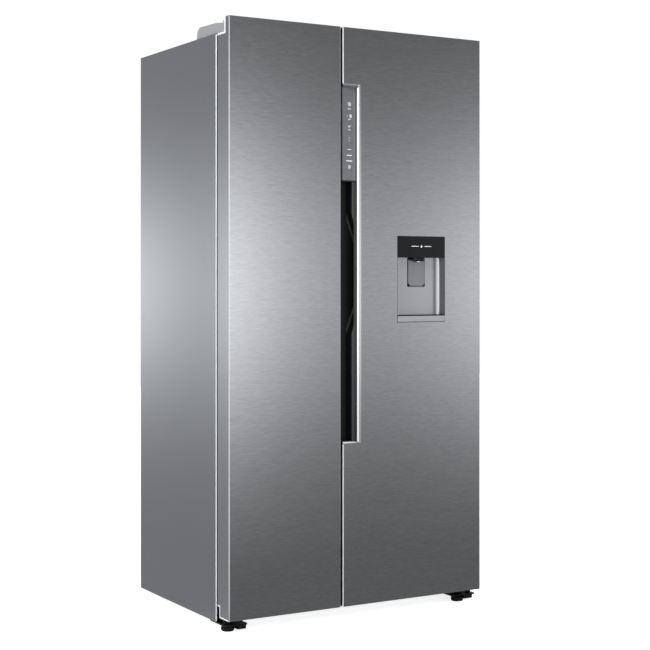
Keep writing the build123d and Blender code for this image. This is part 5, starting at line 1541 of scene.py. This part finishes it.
@dataclass
class Studio:
    """White room, soft lamps, reflection cards and the camera.

    Attributes:
        ambient: strength of the room for surfaces that scatter light.
        floor_half: half the floor's side.
        floor_colour: colour of the floor, sRGB hex.
        floor_lift: light that the floor gives off towards the camera.
        floor_mirrored: the same towards mirrors, which show the floor as white and no brighter.
        camera_spot: place of the camera.
        camera_turn: turn of the camera about the vertical, degrees.
        lens: focal length.
        sensor: width of the sensor that it goes with.
        drop: vertical shift of the frame.
        lamps: the soft lamps.
        cards: cards before the doors, at the left side, on the floor before both, and far to the left for the
            lines of light on the edges.
    """

    ambient: float = 0.72
    floor_half: float = 9.0
    floor_colour: str = "#f2f2f2"
    floor_lift: float = 0.8
    floor_mirrored: float = 0.2
    camera_spot: Spot = (-2.3587, -4.1163, 1.0362)
    camera_turn: float = -30.45
    lens: float = 80.39
    sensor: float = 36.0
    drop: float = -0.0685
    lamps: tuple[Lamp, ...] = (
        Lamp("lamp_overhead", (-0.6, -1.6, 3.6), (0.0, -0.2, 0.9), 2.4, 75.0),
        Lamp("lamp_left", (-3.4, -1.2, 2.2), (0.0, 0.0, 0.9), 2.0, 60.0),
    )
    cards: tuple[Card, ...] = (
        Card(
            "card_front", ((-1.3, -1.323, 0.0), (2.6, -1.323, 3.0)), (
                (-1.3, 1.0), (-0.5, 1.0), (-0.1, 1.0), (0.08, 0.87), (0.24, 0.6), (0.41, 0.42), (0.55, 0.335),
                (0.69, 0.315), (0.85, 0.38), (1.07, 0.5), (1.25, 0.63), (1.5, 0.44), (2.6, 0.33),
            ), middle=1.04, spread=0.575, least=0.125, fade=0.9,
        ),
        Card(
            "card_left", ((-1.154, -0.9, 0.0), (-1.154, 3.2, 2.8)), (
                (-0.9, 1.3), (0.2, 1.3), (1.08, 1.13), (1.19, 0.66), (1.3, 0.66), (1.45, 0.9), (1.6, 1.15),
                (1.95, 1.75), (3.2, 2.2),
            ), middle=1.015, spread=0.5, least=0.49, fade=1.7,
        ),
        Card("card_floor_front", ((-1.3, -1.323, 0.001), (1.9, -0.33, 0.001)), least=0.125, fade=0.9),
        Card("card_floor_left", ((-1.154, -0.9, 0.001), (-0.46, 3.2, 0.001)), least=0.49, fade=1.1),
        Card(
            "card_edge", ((-3.0, -3.6, 0.0), (-3.0, -0.3, 2.6)), ((-3.6, 1.8), (-2.0, 2.0), (-0.3, 2.0)),
            middle=1.5, spread=1.2, least=0.3,
        ),
    )

    def seen(self, tree: Tree, directly: float, mirrored: float) -> Socket:
        """Gives a strength that depends on how a surface is seen, and 0 for scattered light.

        Args:
            tree: the node tree that receives the nodes.
            directly: the strength for rays from the camera.
            mirrored: the strength in mirrors and through glass.

        Returns:
            The socket of the strength.
        """
        path = add_node(tree, "ShaderNodeLightPath").outputs
        inputs = {0: path["Is Glossy Ray"], 1: path["Is Transmission Ray"]}
        mirror = add_node(tree, "ShaderNodeMath", inputs, operation="MAXIMUM").outputs[0]
        inputs = {0: path["Is Camera Ray"], 1: directly}
        shown = add_node(tree, "ShaderNodeMath", inputs, operation="MULTIPLY").outputs[0]
        inputs = {0: mirror, 1: mirrored, 2: shown}
        return add_node(tree, "ShaderNodeMath", inputs, operation="MULTIPLY_ADD").outputs[0]

    def room(self) -> None:
        """Sets the white world: full strength where it is seen, ambient strength for scattered light."""
        world = bpy.data.worlds.new("white_room")
        bpy.context.scene.world = world
        tree = clear_tree(world)
        inputs = {"Value": self.seen(tree, 1.0, 1.0), "To Min": self.ambient}
        strength = add_node(tree, "ShaderNodeMapRange", inputs).outputs[0]
        sky = add_node(tree, "ShaderNodeBackground", {"Color": linear("#ffffff"), "Strength": strength})
        add_node(tree, "ShaderNodeOutputWorld", {"Surface": sky.outputs[0]})

    def floor(self) -> None:
        """Lays the pale floor, which keeps the object's shadow."""
        half = self.floor_half
        spots = [(-half, -half, 0), (half, -half, 0), (half, half, 0), (-half, half, 0)]
        mesh = bpy.data.meshes.new("floor")
        mesh.from_pydata(spots, [], [(0, 1, 2, 3)])
        paint = bpy.data.materials.new("floor_paint")
        tree = clear_tree(paint)
        matt = add_node(tree, "ShaderNodeBsdfDiffuse", {"Color": linear(self.floor_colour)})
        lift = self.seen(tree, self.floor_lift, self.floor_mirrored)
        glow = add_node(tree, "ShaderNodeEmission", {"Strength": lift})
        both = add_node(tree, "ShaderNodeAddShader", {0: matt.outputs[0], 1: glow.outputs[0]})
        add_node(tree, "ShaderNodeOutputMaterial", {"Surface": both.outputs[0]})
        mesh.materials.append(paint)
        ground = link_object("floor", mesh)

    def camera(self) -> None:
        """Sets the camera at the photograph's place."""
        data = bpy.data.cameras.new("camera")
        data.lens = self.lens
        data.sensor_width = self.sensor
        data.shift_y = self.drop
        made = link_object("camera", data)
        made.location = self.camera_spot
        made.rotation_euler = (math.radians(90.0), 0.0, math.radians(self.camera_turn))
        bpy.context.scene.camera = made

    def build(self) -> None:
        """Makes the whole studio."""
        bpy.context.scene.view_settings.view_transform = "Standard"
        self.room()
        self.floor()
        for light in (*self.lamps, *self.cards):
            light.build()
        self.camera()


def main() -> None:
    """Builds every sub-assembly and the studio, in order."""
    logging.basicConfig(level=logging.INFO, format="%(name)s: %(message)s")
    assemblies = (
        Cabinet(), Door(side=DoorSide.FREEZER), Door(side=DoorSide.FRIDGE), GripChannel(), Dispenser(),
        ColdSpaces(), MachineBay(), Standing(),
    )
    for assembly in assemblies:
        assembly.build()
    Studio().build()


if __name__ == "__main__":
    main()
